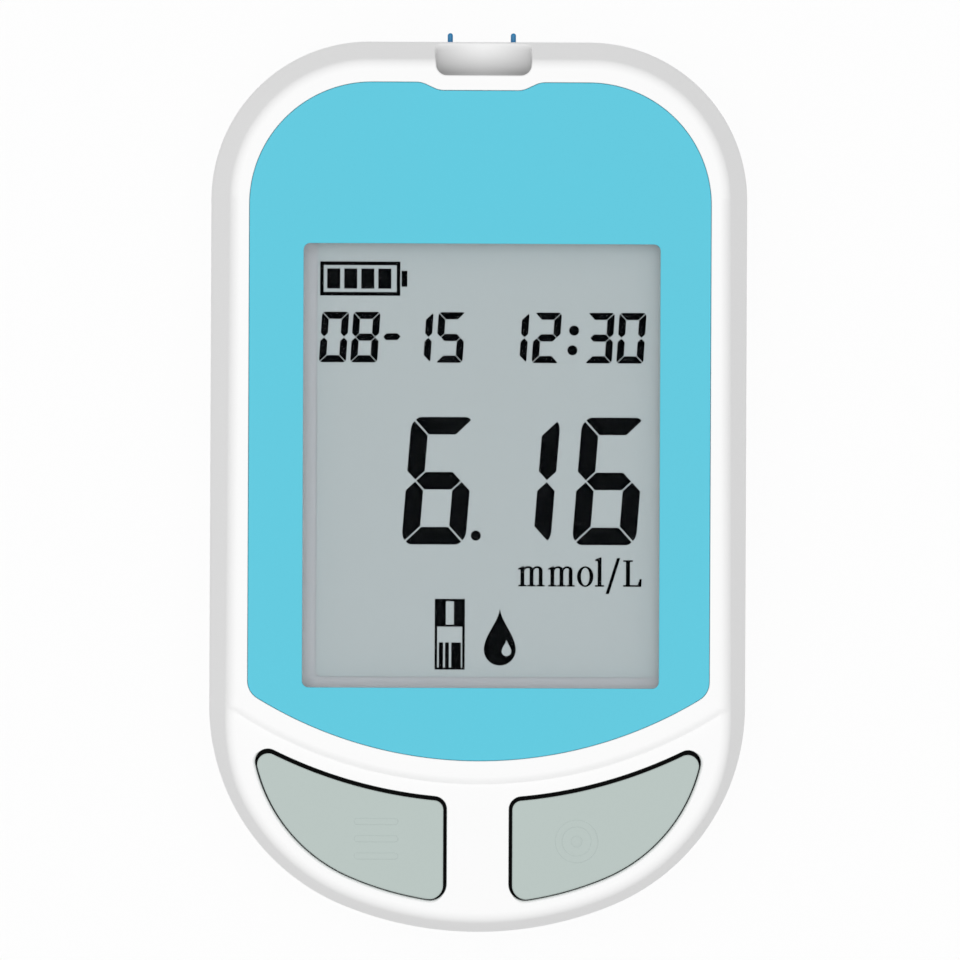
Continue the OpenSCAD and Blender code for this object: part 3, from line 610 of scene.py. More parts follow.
STEEL = metal("plated_steel", (0.62, 0.62, 0.61, 1), (1, 0.12, 1), 0.28)
SPRING = metal("spring_steel_strip", (0.66, 0.64, 0.6, 1), (0.1, 1, 1), 0.24)
GOLD = metal("gold_plate", (0.83, 0.62, 0.28, 1), (1, 0.1, 1), 0.22)
LENS = clear_lens()
BOARD = circuit_board()
SLEEVE = cell_label()

# Repeats


def repeat_tree():
    """Puts a copy of one object on each point of the mesh, sized as asked, as one real mesh."""
    tree = bpy.data.node_groups.new("copies_at_points", "GeometryNodeTree")
    for label, kind in (("Points", "Geometry"), ("Copy", "Object"), ("Size", "Float"), ("Finish", "Material")):
        tree.interface.new_socket(label, in_out="INPUT", socket_type="NodeSocket" + kind)
    tree.interface.new_socket("Copies", in_out="OUTPUT", socket_type="NodeSocketGeometry")
    given = tree.nodes.new("NodeGroupInput").outputs
    what = node(tree, "GeometryNodeObjectInfo", [("Object", given["Copy"])])
    place = node(tree, "GeometryNodeInstanceOnPoints", [
        ("Points", given["Points"]), ("Instance", what.outputs["Geometry"]), ("Scale", given["Size"])])
    real = node(tree, "GeometryNodeRealizeInstances", [(0, place.outputs[0])])
    finish = node(tree, "GeometryNodeSetMaterial", [(0, real.outputs[0]), ("Material", given["Finish"])])
    node(tree, "NodeGroupOutput", [(0, finish.outputs[0])])
    return tree


REPEAT = repeat_tree()


def copies(copy, places, material):
    """One mesh with the object copy at each place."""
    piece = mesh_of(places, [])
    made = piece.modifiers.new("copies", "NODES")
    made.node_group = REPEAT
    values = {"Copy": copy, "Size": 1.0, "Finish": material}
    for item in REPEAT.interface.items_tree:
        if item.in_out == "INPUT" and item.name in values:
            made[item.identifier] = values[item.name]
    baked(piece)
    bpy.data.objects.remove(copy)
    return piece


# Housing

SHOULDER_R, SHOULDER_W = 1.25, 1.2


def lean(y):
    """How far the flare leans in at this height along the meter."""
    return 1.85 - 0.25 * smooth((12 - y) / 20) - 0.58 * smooth((LOW_CY + 1 - y) / 12)


def face_z(x, y):
    """Height of the front face, which drops at the crease above the buttons."""
    t = (hypot(x, y - FASCIA_CY) - CREASE_R + CREASE_W) / CREASE_W
    return BODY_H - (BODY_H - LOW_FACE_Z) * min(1.0, max(0.0, t)) ** 2


def front_rings():
    """Rings of the front shell's outside, from the parting line up to the flat of the face."""
    base = BODY.points()
    inward = [(-c, -s) for _, _, _, c, s, _ in BODY.spots]
    rings = [BODY.ring(z, -d) for z, d in ((10, 0.25), (10.04, 0.13), (10.12, 0.04), (10.25, 0), (13, 0))]
    tall = [[] for _ in range(13)]
    for (x, y), (nx, ny) in zip(base, inward):
        flat_in = lean(y) + SHOULDER_W
        rise = BODY_H - SHOULDER_R - FLARE_Z
        reach = hypot(flat_in, rise)
        steep = atan2(rise, flat_in) + asin(SHOULDER_R / reach)
        slope = 1 / tan(steep)
        profile = [(slope * (z - 13) ** 2 / 4, z) for z in (13.5, 14, 14.5, 15)]
        for i in range(9):
            a = steep * (1 - i / 8)
            profile.append((flat_in - SHOULDER_R * sin(a), BODY_H - SHOULDER_R + SHOULDER_R * cos(a)))
        for row, (d, z) in zip(tall, profile):
            px, py = x + nx * d, y + ny * d
            share = max(0, z - FLARE_Z) / (BODY_H - FLARE_Z)
            row.append((px, py, z - share * (BODY_H - face_z(px, py))))
    return rings + tall


def front_blank():
    """Front shell before anything is cut: flared sides, rounded shoulder and a face with the crease in it."""
    rings = front_rings()
    n = len(rings[0])
    points, faces = between(rings)
    faces.append(tuple(range(n - 1, -1, -1)))
    flat = [Vector((x, y)) for x, y, _ in rings[-1]]
    edge = [(i, (i + 1) % n) for i in range(n)]
    extra = []
    for row in range(15):
        r = CREASE_R - CREASE_W - 0.16 + 0.08 * row
        for k in range(-150, 151):
            a = radians(270) + k * 0.36 / r
            x, y = r * cos(a), FASCIA_CY + r * sin(a)
            if inside_body(x, y, lean(y) + SHOULDER_W + 0.12):
                extra.append(Vector((x, y)))
    verts, _, tris, origin, _, _ = delaunay_2d_cdt(flat + extra, edge, [], 1, 1e-6)
    first = (len(rings) - 1) * n
    index = []
    for i, v in enumerate(verts):
        old = [o for o in origin[i] if o < n]
        if old:
            index.append(first + old[0])
        else:
            index.append(len(points))
            points.append((v.x, v.y, face_z(v.x, v.y)))
    for t in tris:
        a, b, c = (verts[i] for i in t)
        if (b - a).cross(c - a) < 0:
            t = t[::-1]
        faces.append(tuple(index[i] for i in t))
    return mesh_of(points, faces)


def inside_body(x, y, inset):
    """Whether a point near the button end lies inside the outline by inset."""
    x = abs(x)
    if y > LOW_CY:
        return x < HALF_W - inset
    turn = bearing(y - LOW_CY, x - LOW_CX)
    if turn > -LOW_TURN:
        return hypot(x - LOW_CX, y - LOW_CY) < LOW_R - inset
    return hypot(x, y - END_CY) < END_R - inset


def scoop():
    """Thumb scoop: a bowl open at the end, deepest there, that curves up to its inner wall between upright sides."""
    floor, front, near, wide, narrow, r = 14.15, HALF_L + 0.4, HALF_L - 3.6, 5.75, 4.85, 1.15
    brim_z = BODY_H + 0.4
    deep, reach, far = brim_z - floor, front - near + 0.15, HALF_L + 4
    slant = (wide - narrow) / (far - near)
    rows, columns = [far, front], [-1.1, -1, 1, 1.1]
    rows += [front - reach * sind(6 * i) for i in range(1, 16)]
    columns[2:2] = [sind(a) for a in range(-84, 85, 7)]
    points = []
    for y in rows:
        v = max(0.0, front - y) / reach
        for u in columns:
            dish = (1 - 0.28 * u * u * min(1.0, 1.6 * v)) * max(0.0, 1 - abs(u) ** 30) ** (1 / 3)
            inside = dish * sqrt(max(0.0, 1 - v * v))
            points.append((SCOOP_X + u * (narrow + slant * (y - near)), y, brim_z - deep * inside))
    n, m = len(columns), len(rows)
    points += [(x, y, BODY_H + 2) for x, y, _ in points]
    low = [(j * n + i, j * n + i + 1, (j + 1) * n + i + 1, (j + 1) * n + i) for j in range(m - 1) for i in range(n - 1)]
    top = [tuple(i + n * m for i in reversed(f)) for f in low]
    rim = [*range(n), *range(2 * n - 1, m * n, n), *range(m * n - 2, (m - 1) * n - 1, -1), *range((m - 2) * n, 0, -n)]
    sides = [(a, b, b + n * m, a + n * m) for a, b in zip(rim, rim[1:] + rim[:1])]
    bowl = outwards(mesh_of(points, low + top + sides))
    lean_a = bearing(far - near, wide - narrow)
    cx = narrow - r * tan(radians(lean_a) / 2)
    plan = Outline([(SCOOP_X + cx, near + r, r, -90, lean_a - 90), (SCOOP_X + wide, far, 0.01, 0, 90),
                    (SCOOP_X - wide, far, 0.01, 90, 180), (SCOOP_X - cx, near + r, r, 270 - lean_a, 270)])
    return combine(bowl, [block(plan, floor - 1, BODY_H + 1)], "INTERSECT")


def round_scoop_rim(piece, width=0.16):
    """Rounds the edges where the scoop breaks through the face, the shoulder and the end."""
    b = bmesh.new()
    b.from_mesh(piece.data)
    bmesh.ops.remove_doubles(b, verts=b.verts, dist=5e-7)
    bmesh.ops.dissolve_limit(b, angle_limit=radians(0.1), verts=b.verts, edges=b.edges)
    picked = []
    for e in b.edges:
        if not e.is_manifold or not e.is_convex:
            continue
        c = (e.verts[0].co + e.verts[1].co) / 2 / MM
        if abs(c.x) < 6.2 and c.y > 42.6 and c.z > 14.05 and e.calc_face_angle() > radians(28):
            picked.append(e)
    bmesh.ops.bevel(b, geom=picked, offset=width * MM, segments=3, profile=0.5, affect="EDGES",
                    clamp_overlap=False, offset_type="OFFSET")
    b.to_mesh(piece.data)
    b.free()


def mark_scoop_shade(piece, outside):
    """Writes the attribute depth, the mask of the scoop's painted shade: 0 on the outside, rising to 1 a little way
    down the scoop.
    """
    layer = piece.data.attributes.new("depth", "FLOAT", "POINT")
    for i, v in enumerate(piece.data.vertices):
        x, y, z = v.co / MM
        if abs(x) < 6.5 and y > 42.5 and z > FLARE_Z:
            layer.data[i].value = smooth((outside.find_nearest(v.co)[3] / MM - 0.05) / 0.3)


def outer_edge(x, y):
    """1 along the outer edge of a button opening, where the rim is softest, and little along the others."""
    low_x, low_y = edge_centre(EDGE_R - EDGE_LOW_R)
    if bearing(y - low_y, x - low_x) > -EDGE_TURN:
        inset = EDGE_LOW_R - hypot(x - low_x, y - low_y)
    else:
        inset = EDGE_R - hypot(x, y - END_CY)
    return 0.15 + 0.85 * smooth(1 - inset / 0.8)


def front_shell():
    shell = front_blank()
    outside = BVHTree.FromPolygons([v.co for v in shell.data.vertices], [f.vertices for f in shell.data.polygons])
    cut(shell, block(BODY, 9, 14.001, -2.2), block(BODY, 14, CEILING_Z, -3.3))
    add(shell, *pegs(SCREWS, 2.4, PARTING_Z + 0.1, CEILING_Z + 0.3), *pegs(POSTS, 1.8, BOARD_Z, CEILING_Z + 0.3),
        box(6, 41.5, 44.3, BOARD_Z + 0.2, CEILING_Z + 0.3))
    openings = [cutter(OPENING, CEILING_Z - 1, LOW_FACE_Z, 0, 0.4, outer_edge) for _ in "LR"]
    flipped(openings[1])
    cut(shell, cutter(FASCIA, RECESS_Z, BODY_H, 0.04, 0.1),
        block(window(2.6, 0.9), LENS_SEAT_Z, RECESS_Z + 0.2),
        block(window(1, 1), CEILING_Z - 1, LENS_SEAT_Z + 0.2),
        *openings, scoop(),
        box(4.7, HALF_L - 6, HALF_L + 6, 8, PORT_Z + GUIDE_H / 2 + PLAY),
        *pegs(SCREWS, 1.01, 9, 16.1), *pegs(POSTS, 0.81, BOARD_Z - 1, BOARD_Z + 3))
    round_scoop_rim(shell)
    mark_scoop_shade(shell, outside)
    return dressed(shell, "front_shell", WHITE, node="front_housing")


def flipped(piece):
    """The mirror image across the meter's middle."""
    b = bmesh.new()
    b.from_mesh(piece.data)
    for v in b.verts:
        v.co.x = -v.co.x
    bmesh.ops.reverse_faces(b, faces=b.faces)
    b.to_mesh(piece.data)
    b.free()
    return piece


def rear_blank():
    """Rear shell's outside: a flat back that rolls up into upright sides."""
    knots = [(0, 6.2), (0.22, 5.084), (0.9, 3.72), (2.3, 2.17), (4.4, 0.992), (7, 0.31), (9.75, 0)]
    rings = []
    for k in range(len(knots) - 1):
        (z0, d0), (z1, d1) = knots[k], knots[k + 1]
        before = knots[max(0, k - 1)]
        after = knots[min(len(knots) - 1, k + 2)]
        m0 = (d1 - before[1]) / (z1 - before[0])
        m1 = (after[1] - d0) / (after[0] - z0)
        h = z1 - z0
        for t in (0, 0.25, 0.5, 0.75):
            d = ((2 * t ** 3 - 3 * t * t + 1) * d0 + (t ** 3 - 2 * t * t + t) * h * m0
                 + (3 * t * t - 2 * t ** 3) * d1 + (t ** 3 - t * t) * h * m1)
            rings.append((z0 + t * h, max(0, d)))
    rings += [(9.75, 0), (9.88, 0.04), (9.96, 0.13), (10, 0.25)]
    return stack(BODY, [(z, -d) for z, d in rings])


def rear_shell():
    shell = rear_blank()
    cut(shell, block(BODY, WALL, 12, -5.7), block(BODY, 2.6, 12, -3.784), block(BODY, 5, 12, -2.4))
    lip = block(BODY, PARTING_Z - 2, PARTING_Z + 1.5, -2.3, 0, 0.2)
    cut(lip, block(BODY, PARTING_Z - 3, PARTING_Z + 3, -3.25))
    bay_low_y, bay_top_y = BAY_Y - BAY_L / 2, BAY_Y + BAY_L / 2
    bay = box(BAY_W / 2 + 1.2, bay_low_y - 1.2, bay_top_y + 1.2, WALL - 0.01, BAY_TOP_Z + 0.6)
    sill = box(DOOR_W / 2 + 1.5, DOOR_LOW_Y - 2, DOOR_TOP_Y + 2, WALL - 0.02, WALL + 1.5)
    add(shell, lip, bay, sill, *pegs(SCREWS, 3.2, WALL - 0.01, PARTING_Z - 0.01))
    notch_r = 9
    notch = turned([(notch_r * cosd(a), notch_r * sind(a)) for a in range(0, 88, 4)] + [(0.01, notch_r)],
                   (0, DOOR_LOW_Y - 1.5, 1.3 - notch_r), steps=72)
    tongues = [box(2.3, DOOR_TOP_Y - 2.6, DOOR_TOP_Y + 3.4, DOOR_T - 0.3, 4, x=s * TONGUE_X) for s in (-1, 1)]
    cut(shell,
        box(BAY_W / 2, bay_low_y, bay_top_y, 1, BAY_TOP_Z, 0.4),
        cutter(DOOR, DOOR_T + PLAY, 0, 0.15, 0.2),
        *tongues, notch,
        box(3.8, DOOR_LOW_Y - 0.2, DOOR_LOW_Y + 2, DOOR_T - 0.3, WALL + 3),
        box(5.9, HALF_L - 6, HALF_L + 6, PARTING_Z, 30),
        *[cutter(disc(x, y, 2.2), 4, 0, 0, 0.3) for x, y in SCREWS],
        *pegs(SCREWS, 1.15, 3, 11),
        *[cutter(disc(BUZZER[0] + 1.8 * i, BUZZER[1], 0.5), 5, 0, 0, 0.15) for i in (-2, -1, 0, 1, 2)])
    return dressed(shell, "rear_shell", WHITE, node="rear_housing")


def door():
    """Battery door: rounded outer edge, two hooked tongues, latch arm between slits, grip grooves."""
    panel = block(DOOR, 0, DOOR_T, 0, 0.2, 0.1)
    y = DOOR_TOP_Y
    hook = [(y - 1, DOOR_T - 0.01), (y - 0.3, DOOR_T - 0.01), (y + 1.4, WALL + 0.15), (y + 1.8, WALL + 0.5),
            (y + 1.8, WALL + 1), (y - 1, WALL + 1)]
    arm = box(3.5, DOOR_LOW_Y + 0.3, DOOR_LOW_Y + 1.5, DOOR_T - 0.3, WALL + 2, 0.2)
    add(panel, *[sideways(hook, TONGUE_W / 2, s * TONGUE_X) for s in (-1, 1)], arm)
    slits = [box(0.25, DOOR_LOW_Y - 0.5, DOOR_LOW_Y + 5.5, -1, 5, x=x) for x in (-4, 4)]
    groove = turned([(0.0001, -2.75), (0.2, -2.72), (0.35, -2.5), (0.35, 2.5), (0.2, 2.72), (0.0001, 2.75)],
                    (0, 0, 0), "Y", 24)
    for v in groove.data.vertices:
        v.co.x, v.co.y = v.co.y, v.co.x
    outwards(groove)
    grooves = copies(groove, [(0, DOOR_LOW_Y + 2 + 1.4 * i, 0) for i in range(5)], WHITE)
    cut(panel, *slits, grooves)
    return dressed(panel, "door_panel", WHITE, "door", "battery_door")


# Fascia, window and display

FASCIA = fascia_outline()
OPENING = button_outline(0, 0)
DOOR = rounded_rect(0, BAY_Y, DOOR_W, DOOR_L, 1.5)
PHOTO_SCALE, PHOTO_X, PHOTO_Y = 0.1045, 478.4, 486.5
INK_Z, INK_T = 18.8, 0.025


def fascia():
    panel = block(FASCIA, RECESS_Z, FASCIA_Z, 0, 0, 0.08)
    cut(panel, cutter(window(0, 0.7), RECESS_Z - 1, FASCIA_Z, 0, 0.05))
    return dressed(panel, "fascia", PRINT, node="fascia_panel")


def lens():
    pane = block(window(-0.06, 0.67), RECESS_Z - 0.1, FASCIA_Z - 0.03, 0, 0, 0.04)
    add(pane, block(window(2.4, 0.8), LENS_SEAT_Z, RECESS_Z))
    return dressed(pane, "window_lens", LENS, node="display_lens")


def on_display(points):
    """Places (across, down) of the picture on the display, turned to anticlockwise."""
    spots = [((x - PHOTO_X) * PHOTO_SCALE, (PHOTO_Y - y) * PHOTO_SCALE) for x, y in points]
    area = sum(a[0] * b[1] - b[0] * a[1] for a, b in zip(spots, spots[1:] + spots[:1]))
    return spots if area > 0 else spots[::-1]


def ink(points, z0=INK_Z, thick=INK_T):
    """One flat dark shape."""
    return prism(on_display(points), z0, z0 + thick)


def pale_spot(points):
    """Cutter for a pale spot in a dark shape."""
    return ink(points, INK_Z - 1, 3)


def dot(x, y, rx, ry=None, steps=32):
    return [(x + rx * cosd(360 * i / steps), y + (ry or rx) * sind(360 * i / steps)) for i in range(steps)]


def joined(pieces):
    """One object that holds the meshes of several that don't touch."""
    points, faces = [], []
    for piece in pieces:
        first = len(points)
        points += [tuple(v.co / MM) for v in piece.data.vertices]
        faces += [tuple(first + i for i in f.vertices) for f in piece.data.polygons]
        bpy.data.objects.remove(piece)
    return mesh_of(points, faces)


SEGMENTS = {0: "abcdef", 1: "bc", 2: "abged", 3: "abgcd", 5: "afgcd", 6: "afgedc", 8: "abcdefg"}


def digit(value, x, y, w, h, t, gap, lean_x, round_r):
    """Seven-segment digit. x, y is its upper left corner before it leans."""
    mid, k = h / 2, gap * 0.7
    tip, corner = 0.4 * round_r, round_r
    top = [(tip + k, tip * 0.9), (corner * 0.7 + k, tip * 0.3), (corner + k, 0), (w - corner - k, 0),
           (w - corner * 0.7 - k, tip * 0.3), (w - tip - k, tip * 0.9), (w - t - k, t), (t + k, t)]
    left = [(tip, tip + k), (tip * 0.35, corner * 0.75 + k), (0, corner * 1.35 + k), (0, mid - t / 2 - k),
            (t / 2, mid - k), (t, mid - t / 2 - k), (t, t + k)]
    right = [(w - a, b) for a, b in left]
    low, low_left, low_right = ([(a, h - b) for a, b in shape] for shape in (top, left, right))
    shapes = {
        "a": top, "b": right, "c": low_right, "d": low, "e": low_left, "f": left,
        "g": [(t / 2 + k, mid), (t + k, mid - t / 2), (w - t - k, mid - t / 2), (w - t / 2 - k, mid),
              (w - t - k, mid + t / 2), (t + k, mid + t / 2)]}
    return [[(x + a + lean_x * (h - b) / h, y + b) for a, b in shapes[s]] for s in SEGMENTS[value]]


def reading():
    """Large reading, and the day and hour above it."""
    shapes = []
    for value, x in ((6, 401), (1, 485.9), (6, 571.2)):
        shapes += digit(value, x, 416.8, 63.8, 127.2, 17.4, 1.5, 10, 8)
    shapes.append(dot(475.4, 535, 5))
    for value, x in ((0, 318), (8, 349.2), (1, 402.2), (5, 434.3), (1, 498), (2, 530.3), (3, 583.2), (0, 614.8)):
        shapes += digit(value, x, 312.2, 27, 50.4, 7.1, 0.65, 3.2, 2.2)
    shapes.append([(382.2, 337), (385.5, 333.6), (396, 333.4), (399.6, 336.6), (396.3, 340.2), (385, 340.4)])
    shapes += [dot(572.7, 330, 5), dot(571, 349.7, 5)]
    return dressed(joined([ink(s) for s in shapes]), "reading_segments", INK)


def arch(x0, x1, top, foot, thick, thin):
    """Shoulder of an m: thin where it leaves the stem, thick where it comes down."""
    cx, rx, ry = (x0 + x1) / 2, (x1 - x0) / 2, (x1 - x0) * 0.42
    outer, inner = [], []
    for i in range(13):
        a = radians(180 - 15 * i)
        inside = thin + (thick - thin) * i / 12
        outer.append((cx + rx * cos(a), top + ry - ry * sin(a)))
        inner.append((cx + (rx - inside) * cos(a), top + ry - (ry - max(1.6, inside * 0.75)) * sin(a)))
    return [*outer, (x1, foot), (x1 - thick, foot), *inner[::-1]]


def unit_letters():
    """The unit's letters, drawn as stems, serifs and arches."""
    base, top, stem, serif = 585.5, 565.5, 3.8, 1.6
    shapes = []
    for x in (517.6, 547.5):
        for k in range(3):
            sx = x + 2.6 + 9.1 * k
            shapes += [bar(sx, top + (0.8 if k == 0 else 6), sx + stem, base),
                       bar(sx - 2.1, base - serif, sx + stem + 2.1, base)]
        shapes.append([(x, top + 2.2), (x + 5.2, top - 0.4), (x + 6, top - 0.4), (x + 6, top + 3.4), (x, top + 3.2)])
        for k in range(2):
            sx = x + 5.2 + 9.1 * k
            shapes.append(arch(sx, sx + 10.3, top - 0.3, base - 3, stem, 1.7))
    shapes += [bar(597.2, 557, 601, base), bar(594.6, base - serif, 603.6, base),
               [(594.6, 558.4), (600, 556.2), (601, 556.2), (601, 560), (594.6, 560)]]
    shapes += [[(616.4, 556.8), (619.7, 556.8), (608.5, 592.8), (605.2, 592.8)]]
    shapes += [bar(625.4, 559, 629.5, base), bar(622.6, 559, 632.2, 560.6), bar(622.6, base - 1.7, 640.8, base),
               [(640.8, base), (636.6, base), (639.2, base - 7.8), (641.2, base - 7.8)]]
    pieces = [ink(s) for s in shapes]
    bowl = ink(dot(584.8, 575.5, 8.2, 10.3, 36))
    cut(bowl, pale_spot(dot(584.8, 575.5, 4.3, 8.8, 36)))
    first = pieces[0]
    add(first, *pieces[1:], bowl)
    return dressed(first, "unit_letters", INK)


def drop_shape(tip_x, tip_y, x, y, r):
    points = [(tip_x, tip_y)]
    for i in range(1, 13):
        t = i / 13
        a = (1 - t) ** 3
        b, c, d = 3 * t * (1 - t) ** 2, 3 * t * t * (1 - t), t ** 3
        points.append((a * tip_x + b * (tip_x - 0.12 * r) + c * (x - 0.95 * r) + d * (x - r),
                       a * tip_y + b * (tip_y + 0.9 * r) + c * (y - 0.95 * r) + d * y))
    points += [(x + r * cosd(s), y + r * sind(s)) for s in range(180, -1, -12)]
    points += [(2 * tip_x - px, py) for px, py in points[12:0:-1]]
    return points


def symbols():
    """Test strip, drop of blood, and the charge of the cells."""
    strip = ink(bar(434.8, 598.3, 464.8, 668.8))
    pale = ((445.8, 600.7, 453.9, 624), (437.3, 626, 462.3, 641.8), (437.3, 641.7, 439, 666.8),
            (443.2, 641.7, 445.2, 666.8), (449, 641.7, 451.4, 666.8), (461, 641.7, 462.3, 666.8))
    cut(strip, *[pale_spot(bar(*corners)) for corners in pale])
    drop = ink(drop_shape(499.8, 607.9, 499.8, 648.6, 16))
    cut(drop, pale_spot(drop_shape(506.5, 638.5, 506.5, 650.4, 4.8)))
    charge = ink(bar(319, 262, 399, 296))
    cut(charge, pale_spot(bar(322.6, 265.6, 395.4, 292.4)))
    full = [ink(bar(326 + 17 * i, 269, 339 + 17 * i, 289)) for i in range(4)]
    nub = ink(bar(400.2, 271, 406, 287))
    return dressed(joined([strip, drop, charge, nub, *full]), "display_symbols", INK)


# Buttons and strip guide


def raised(outline, hole=None):
    """Shallow sign on a cap, with sloping sides."""
    steps = [(FASCIA_Z - 0.1, 0.12), (FASCIA_Z, 0.12), (FASCIA_Z + 0.05, 0.05), (FASCIA_Z + 0.07, 0)]
    sign = stack(outline, steps)
    if hole:
        cut(sign, stack(hole, [(z, -g) for z, g in [(20, 0.12), *steps[1:], (22, 0)]]))
    return sign


def button(side):
    """Cap with a rounded edge and a stop flange, and a shallow raised sign on top."""
    cap = block(button_outline(0.36, 0.15), 18.5, FASCIA_Z, 0, 0, 0.2)
    add(cap, block(button_outline(-0.6, 0.45), 17.6, 18.9))
    if side == "left":
        flipped(cap)
        add(cap, *[raised(rounded_rect(-10.6, -34.9 - 1.8 * i, 4.4, 0.5, 0.24)) for i in range(3)])
    else:
        x, y = 10.3, -36.9
        add(cap, raised(disc(x, y, 2.15), disc(x, y, 1.6)), raised(disc(x, y, 0.5, 15)))
    return dressed(cap, "cap_" + side, CAP, side + "_button", "button_" + side)


def guide():
    z, front = PORT_Z, HALF_L - 0.3
    body = box(GUIDE_W / 2, front - 2.8, front, z - GUIDE_H / 2, z + GUIDE_H / 2, 0.08)
    flange = box(5.4, front - 2.8, front - 2.2, z - GUIDE_H / 2, z + GUIDE_H / 2, 0.08)
    horns = [block(rounded_rect(x, front - 0.25, 0.54, 3, 0.26), z - 0.8, z + 0.8, 0, 0.24, 0.24) for x in (-3.1, 3.5)]
    add(body, flange, *horns)
    lead = sideways([(front + 0.3, z + 1.15), (front - 1.2, z), (front + 0.3, z - 1.15)], 3.15)
    cut(body, box(3.15, front - 6, front + 6, z - 0.45, z + 0.45), lead)
    return dressed(body, "guide", BLUE, node="strip_guide")


# Fasteners and cells


def screw(d, length):
    """Cross-head screw with its head down and the seat of the head at height nought."""
    head_r, head_h = 0.95 * d, 0.65 * d
    profile = [(0.001, -head_h), (0.6 * head_r, -head_h), (0.82 * head_r, -0.9 * head_h),
               (0.95 * head_r, -0.7 * head_h), (head_r, -0.5 * head_h), (head_r, 0), (0.5 * d, 0),
               (0.5 * d, 0.3 * length)]
    pitch = 0.35 * d
    for i in range(int(0.6 * length / pitch)):
        z = 0.3 * length + pitch * i
        profile += [(0.38 * d, z + 0.35 * pitch), (0.38 * d, z + 0.65 * pitch), (0.49 * d, z + pitch)]
    profile += [(0.25 * d, length), (0.001, length)]
    piece = turned(profile, (0, 0, 0))
    arm, thin, deep = 0.6 * head_r, 0.11 * d, -0.45 * head_h
    cut(piece, box(arm, -thin, thin, -2 * d, deep), box(thin, -arm, arm, -2 * d, deep))
    return piece


def fasteners():
    head = copies(screw(2.0, 10.0), [(x, y, 4.0) for x, y in SCREWS], STEEL)
    dressed(head, "shell_screws", STEEL, node="housing_screws")
    small = copies(screw(1.6, 3.7), [(x, y, BOARD_LOW_Z) for x, y in POSTS], STEEL)
    dressed(small, "board_fixings", STEEL, node="board_screws")


def cell(name, x, start, way):
    """Size AAA cell: crimped can, printed sleeve and a raised plus end. way is where the plus end points."""
    r, l, nub, nub_r = CELL_D / 2, CELL_L, 0.9, 1.9
    profile = [(0.01, 0.15), (3.4, 0.15), (3.55, 0.04), (3.7, 0), (r - 0.4, 0), (r - 0.15, 0.1), (r - 0.05, 0.35),
               (r - 0.05, 0.86), (r, 0.9), (r, l - nub - 0.72), (r - 0.06, l - nub - 0.66), (r - 0.06, l - nub - 0.3),
               (r - 0.2, l - nub - 0.08), (r - 0.5, l - nub), (nub_r + 0.25, l - nub), (nub_r, l - nub + 0.2),
               (nub_r, l - 0.25), (nub_r - 0.08, l - 0.08), (nub_r - 0.3, l), (0.01, l)]
    piece = turned([(q, way * h) for q, h in profile], (x, start, CELL_Z), "Y", 72)
    layer = piece.data.uv_layers.new(name="along")
    for loop in piece.data.loops:
        p = piece.data.vertices[loop.vertex_index].co / MM
        layer.data[loop.index].uv = ((atan2(p.z - CELL_Z, p.x - x) / (2 * pi)) % 1.0, way * (p.y - start) / l)
    return dressed(piece, name + "_can", SLEEVE, node=name)


front_shell()
rear_shell()
fascia()
lens()
reading()
unit_letters()
symbols()
button("left")
button("right")
guide()
door()
fasteners()
FLAT_END = 20.15
cell("cell_left", -CELL_X, BAY_Y - FLAT_END, 1)
cell("cell_right", CELL_X, BAY_Y + FLAT_END, -1)

# Solids that are shown as they are
KEPT = {
    "lcd_gasket": FOAM, "lcd_polariser": FILM, "lcd_front_glass": GLASS, "lcd_rear_glass": GLASS,
    "lcd_reflector": REFLECTOR, "lcd_carrier": IVORY, "lcd_connector": RUBBER, "main_board": BOARD,
    "board_chips": CHIP, "buzzer": BLACK, "switch_bases": SWITCH, "switch_plunger_left": BLACK,
    "switch_plunger_right": BLACK, "strip_connector": BLACK, "strip_contacts": GOLD, "end_contacts": SPRING,
    "link_contact": SPRING}
for name, material in KEPT.items():
    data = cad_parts[name].data
    data.materials.clear()
    data.materials.append(material)

# Floor, light and camera


def pale_floor():
    """Floor that only keeps a faint shadow, so the underside and the open door show through it."""
    mesh = bpy.data.meshes.new("floor")
    s, low = 4.0, -2e-5
    mesh.from_pydata([(-s, -s, low), (s, -s, low), (s, s, low), (-s, s, low)], [], [(0, 1, 2, 3)])
    floor = new_object("floor", mesh)
    material = bpy.data.materials.new("pale_floor")
    tree = bare_tree(material)
    seen = tree.nodes.new("ShaderNodeLightPath").outputs["Is Camera Ray"]
    clear = tree.nodes.new("ShaderNodeBsdfTransparent")
    matt = node(tree, "ShaderNodeBsdfDiffuse", [("Color", (0.8, 0.8, 0.8, 1))])
    mix = node(tree, "ShaderNodeMixShader", [(0, calc("MULTIPLY", seen, 0.06)), (1, clear.outputs[0]),
                                             (2, matt.outputs[0])])
    node(tree, "ShaderNodeOutputMaterial", [(0, mix.outputs[0])])
    mesh.materials.append(material)


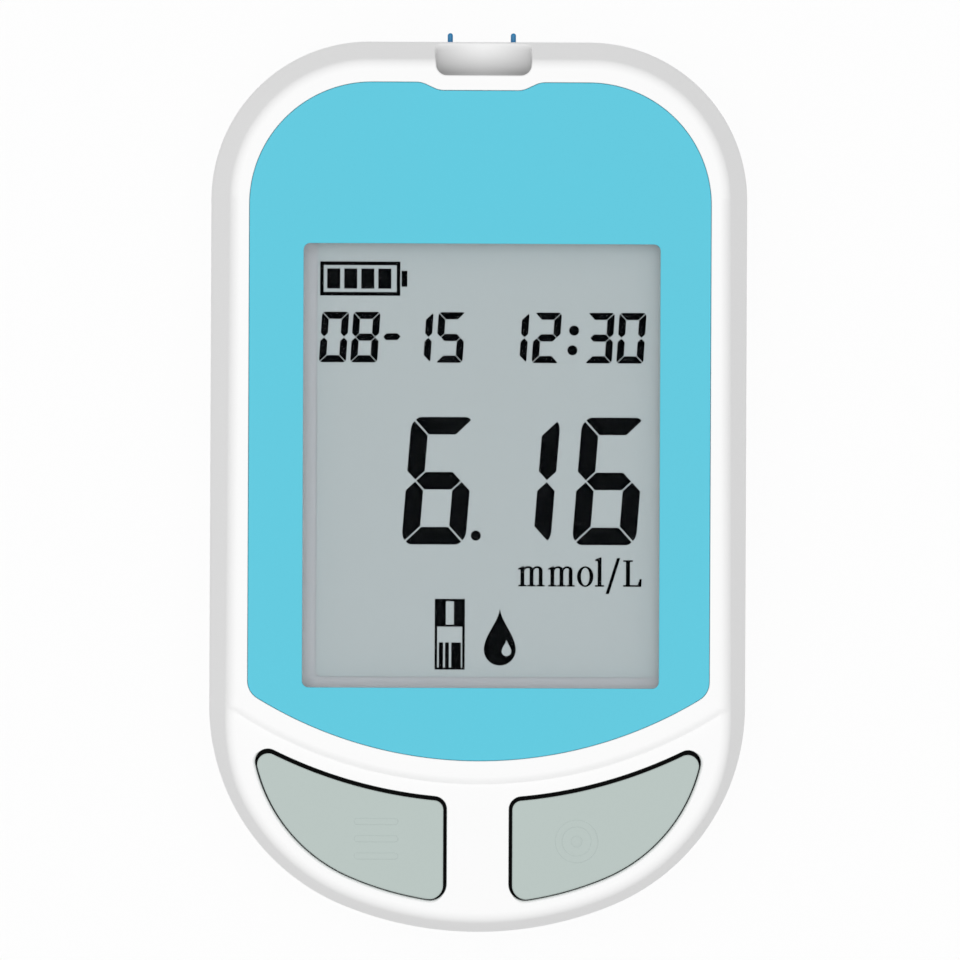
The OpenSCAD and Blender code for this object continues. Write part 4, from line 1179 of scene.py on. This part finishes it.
def studio_world():
    world = bpy.data.worlds.new("studio")
    bpy.context.scene.world = world
    tree = bare_tree(world)
    path = tree.nodes.new("ShaderNodeLightPath").outputs
    mirrored = calc("MAXIMUM", path["Is Glossy Ray"], path["Is Transmission Ray"])
    seen = calc("MAXIMUM", path["Is Camera Ray"], mirrored)
    up = split(tree.nodes.new("ShaderNodeTexCoord").outputs["Generated"])[2]
    level = calc("MULTIPLY_ADD", calc("MAXIMUM", up, 0.0), 0.44, 0.38)
    level = calc("MULTIPLY_ADD", calc("LESS_THAN", up, 0.0), 0.22, level)
    soft = node(tree, "ShaderNodeBackground", [("Color", (1.0, 1.0, 1.0, 1)), ("Strength", level)])
    white = node(tree, "ShaderNodeBackground", [("Color", (1, 1, 1, 1)), ("Strength", 1.0)])
    mix = node(tree, "ShaderNodeMixShader", [(0, seen), (1, soft.outputs[0]), (2, white.outputs[0])])
    node(tree, "ShaderNodeOutputWorld", [(0, mix.outputs[0])])


def lamp(name, place, size, power):
    data = bpy.data.lights.new(name, "AREA")
    data.shape, data.size, data.energy = "DISK", size, power
    light = new_object(name, data)
    light.location = place
    light.rotation_mode = "QUATERNION"
    light.rotation_quaternion = (Vector(place)).to_track_quat("Z", "Y")


pale_floor()
studio_world()
lamp("top_light", (-0.08, 0.03, 1.15), 1.2, 5.4)

# The photo's view: a little to the left of straight above and slightly rolled
camera = new_object("camera", bpy.data.cameras.new("camera"))
bpy.context.scene.camera = camera
FRAME_W, DISTANCE, FOCUS_Z, SIDE, ROLL, SENSOR_W = 100.3, 2.5, 14.0, 0.0147, 0.0043, 36
camera.location = (0.17 * MM - SIDE * DISTANCE, 0.73 * MM - SIDE * ROLL * DISTANCE, DISTANCE + FOCUS_Z * MM)
camera.rotation_euler = (0, -SIDE, ROLL)
camera.data.sensor_width = SENSOR_W
camera.data.lens = SENSOR_W * DISTANCE / (FRAME_W * MM)
camera.data.clip_start, camera.data.clip_end = 0.1, 10

bpy.context.scene.view_settings.view_transform = "Standard"
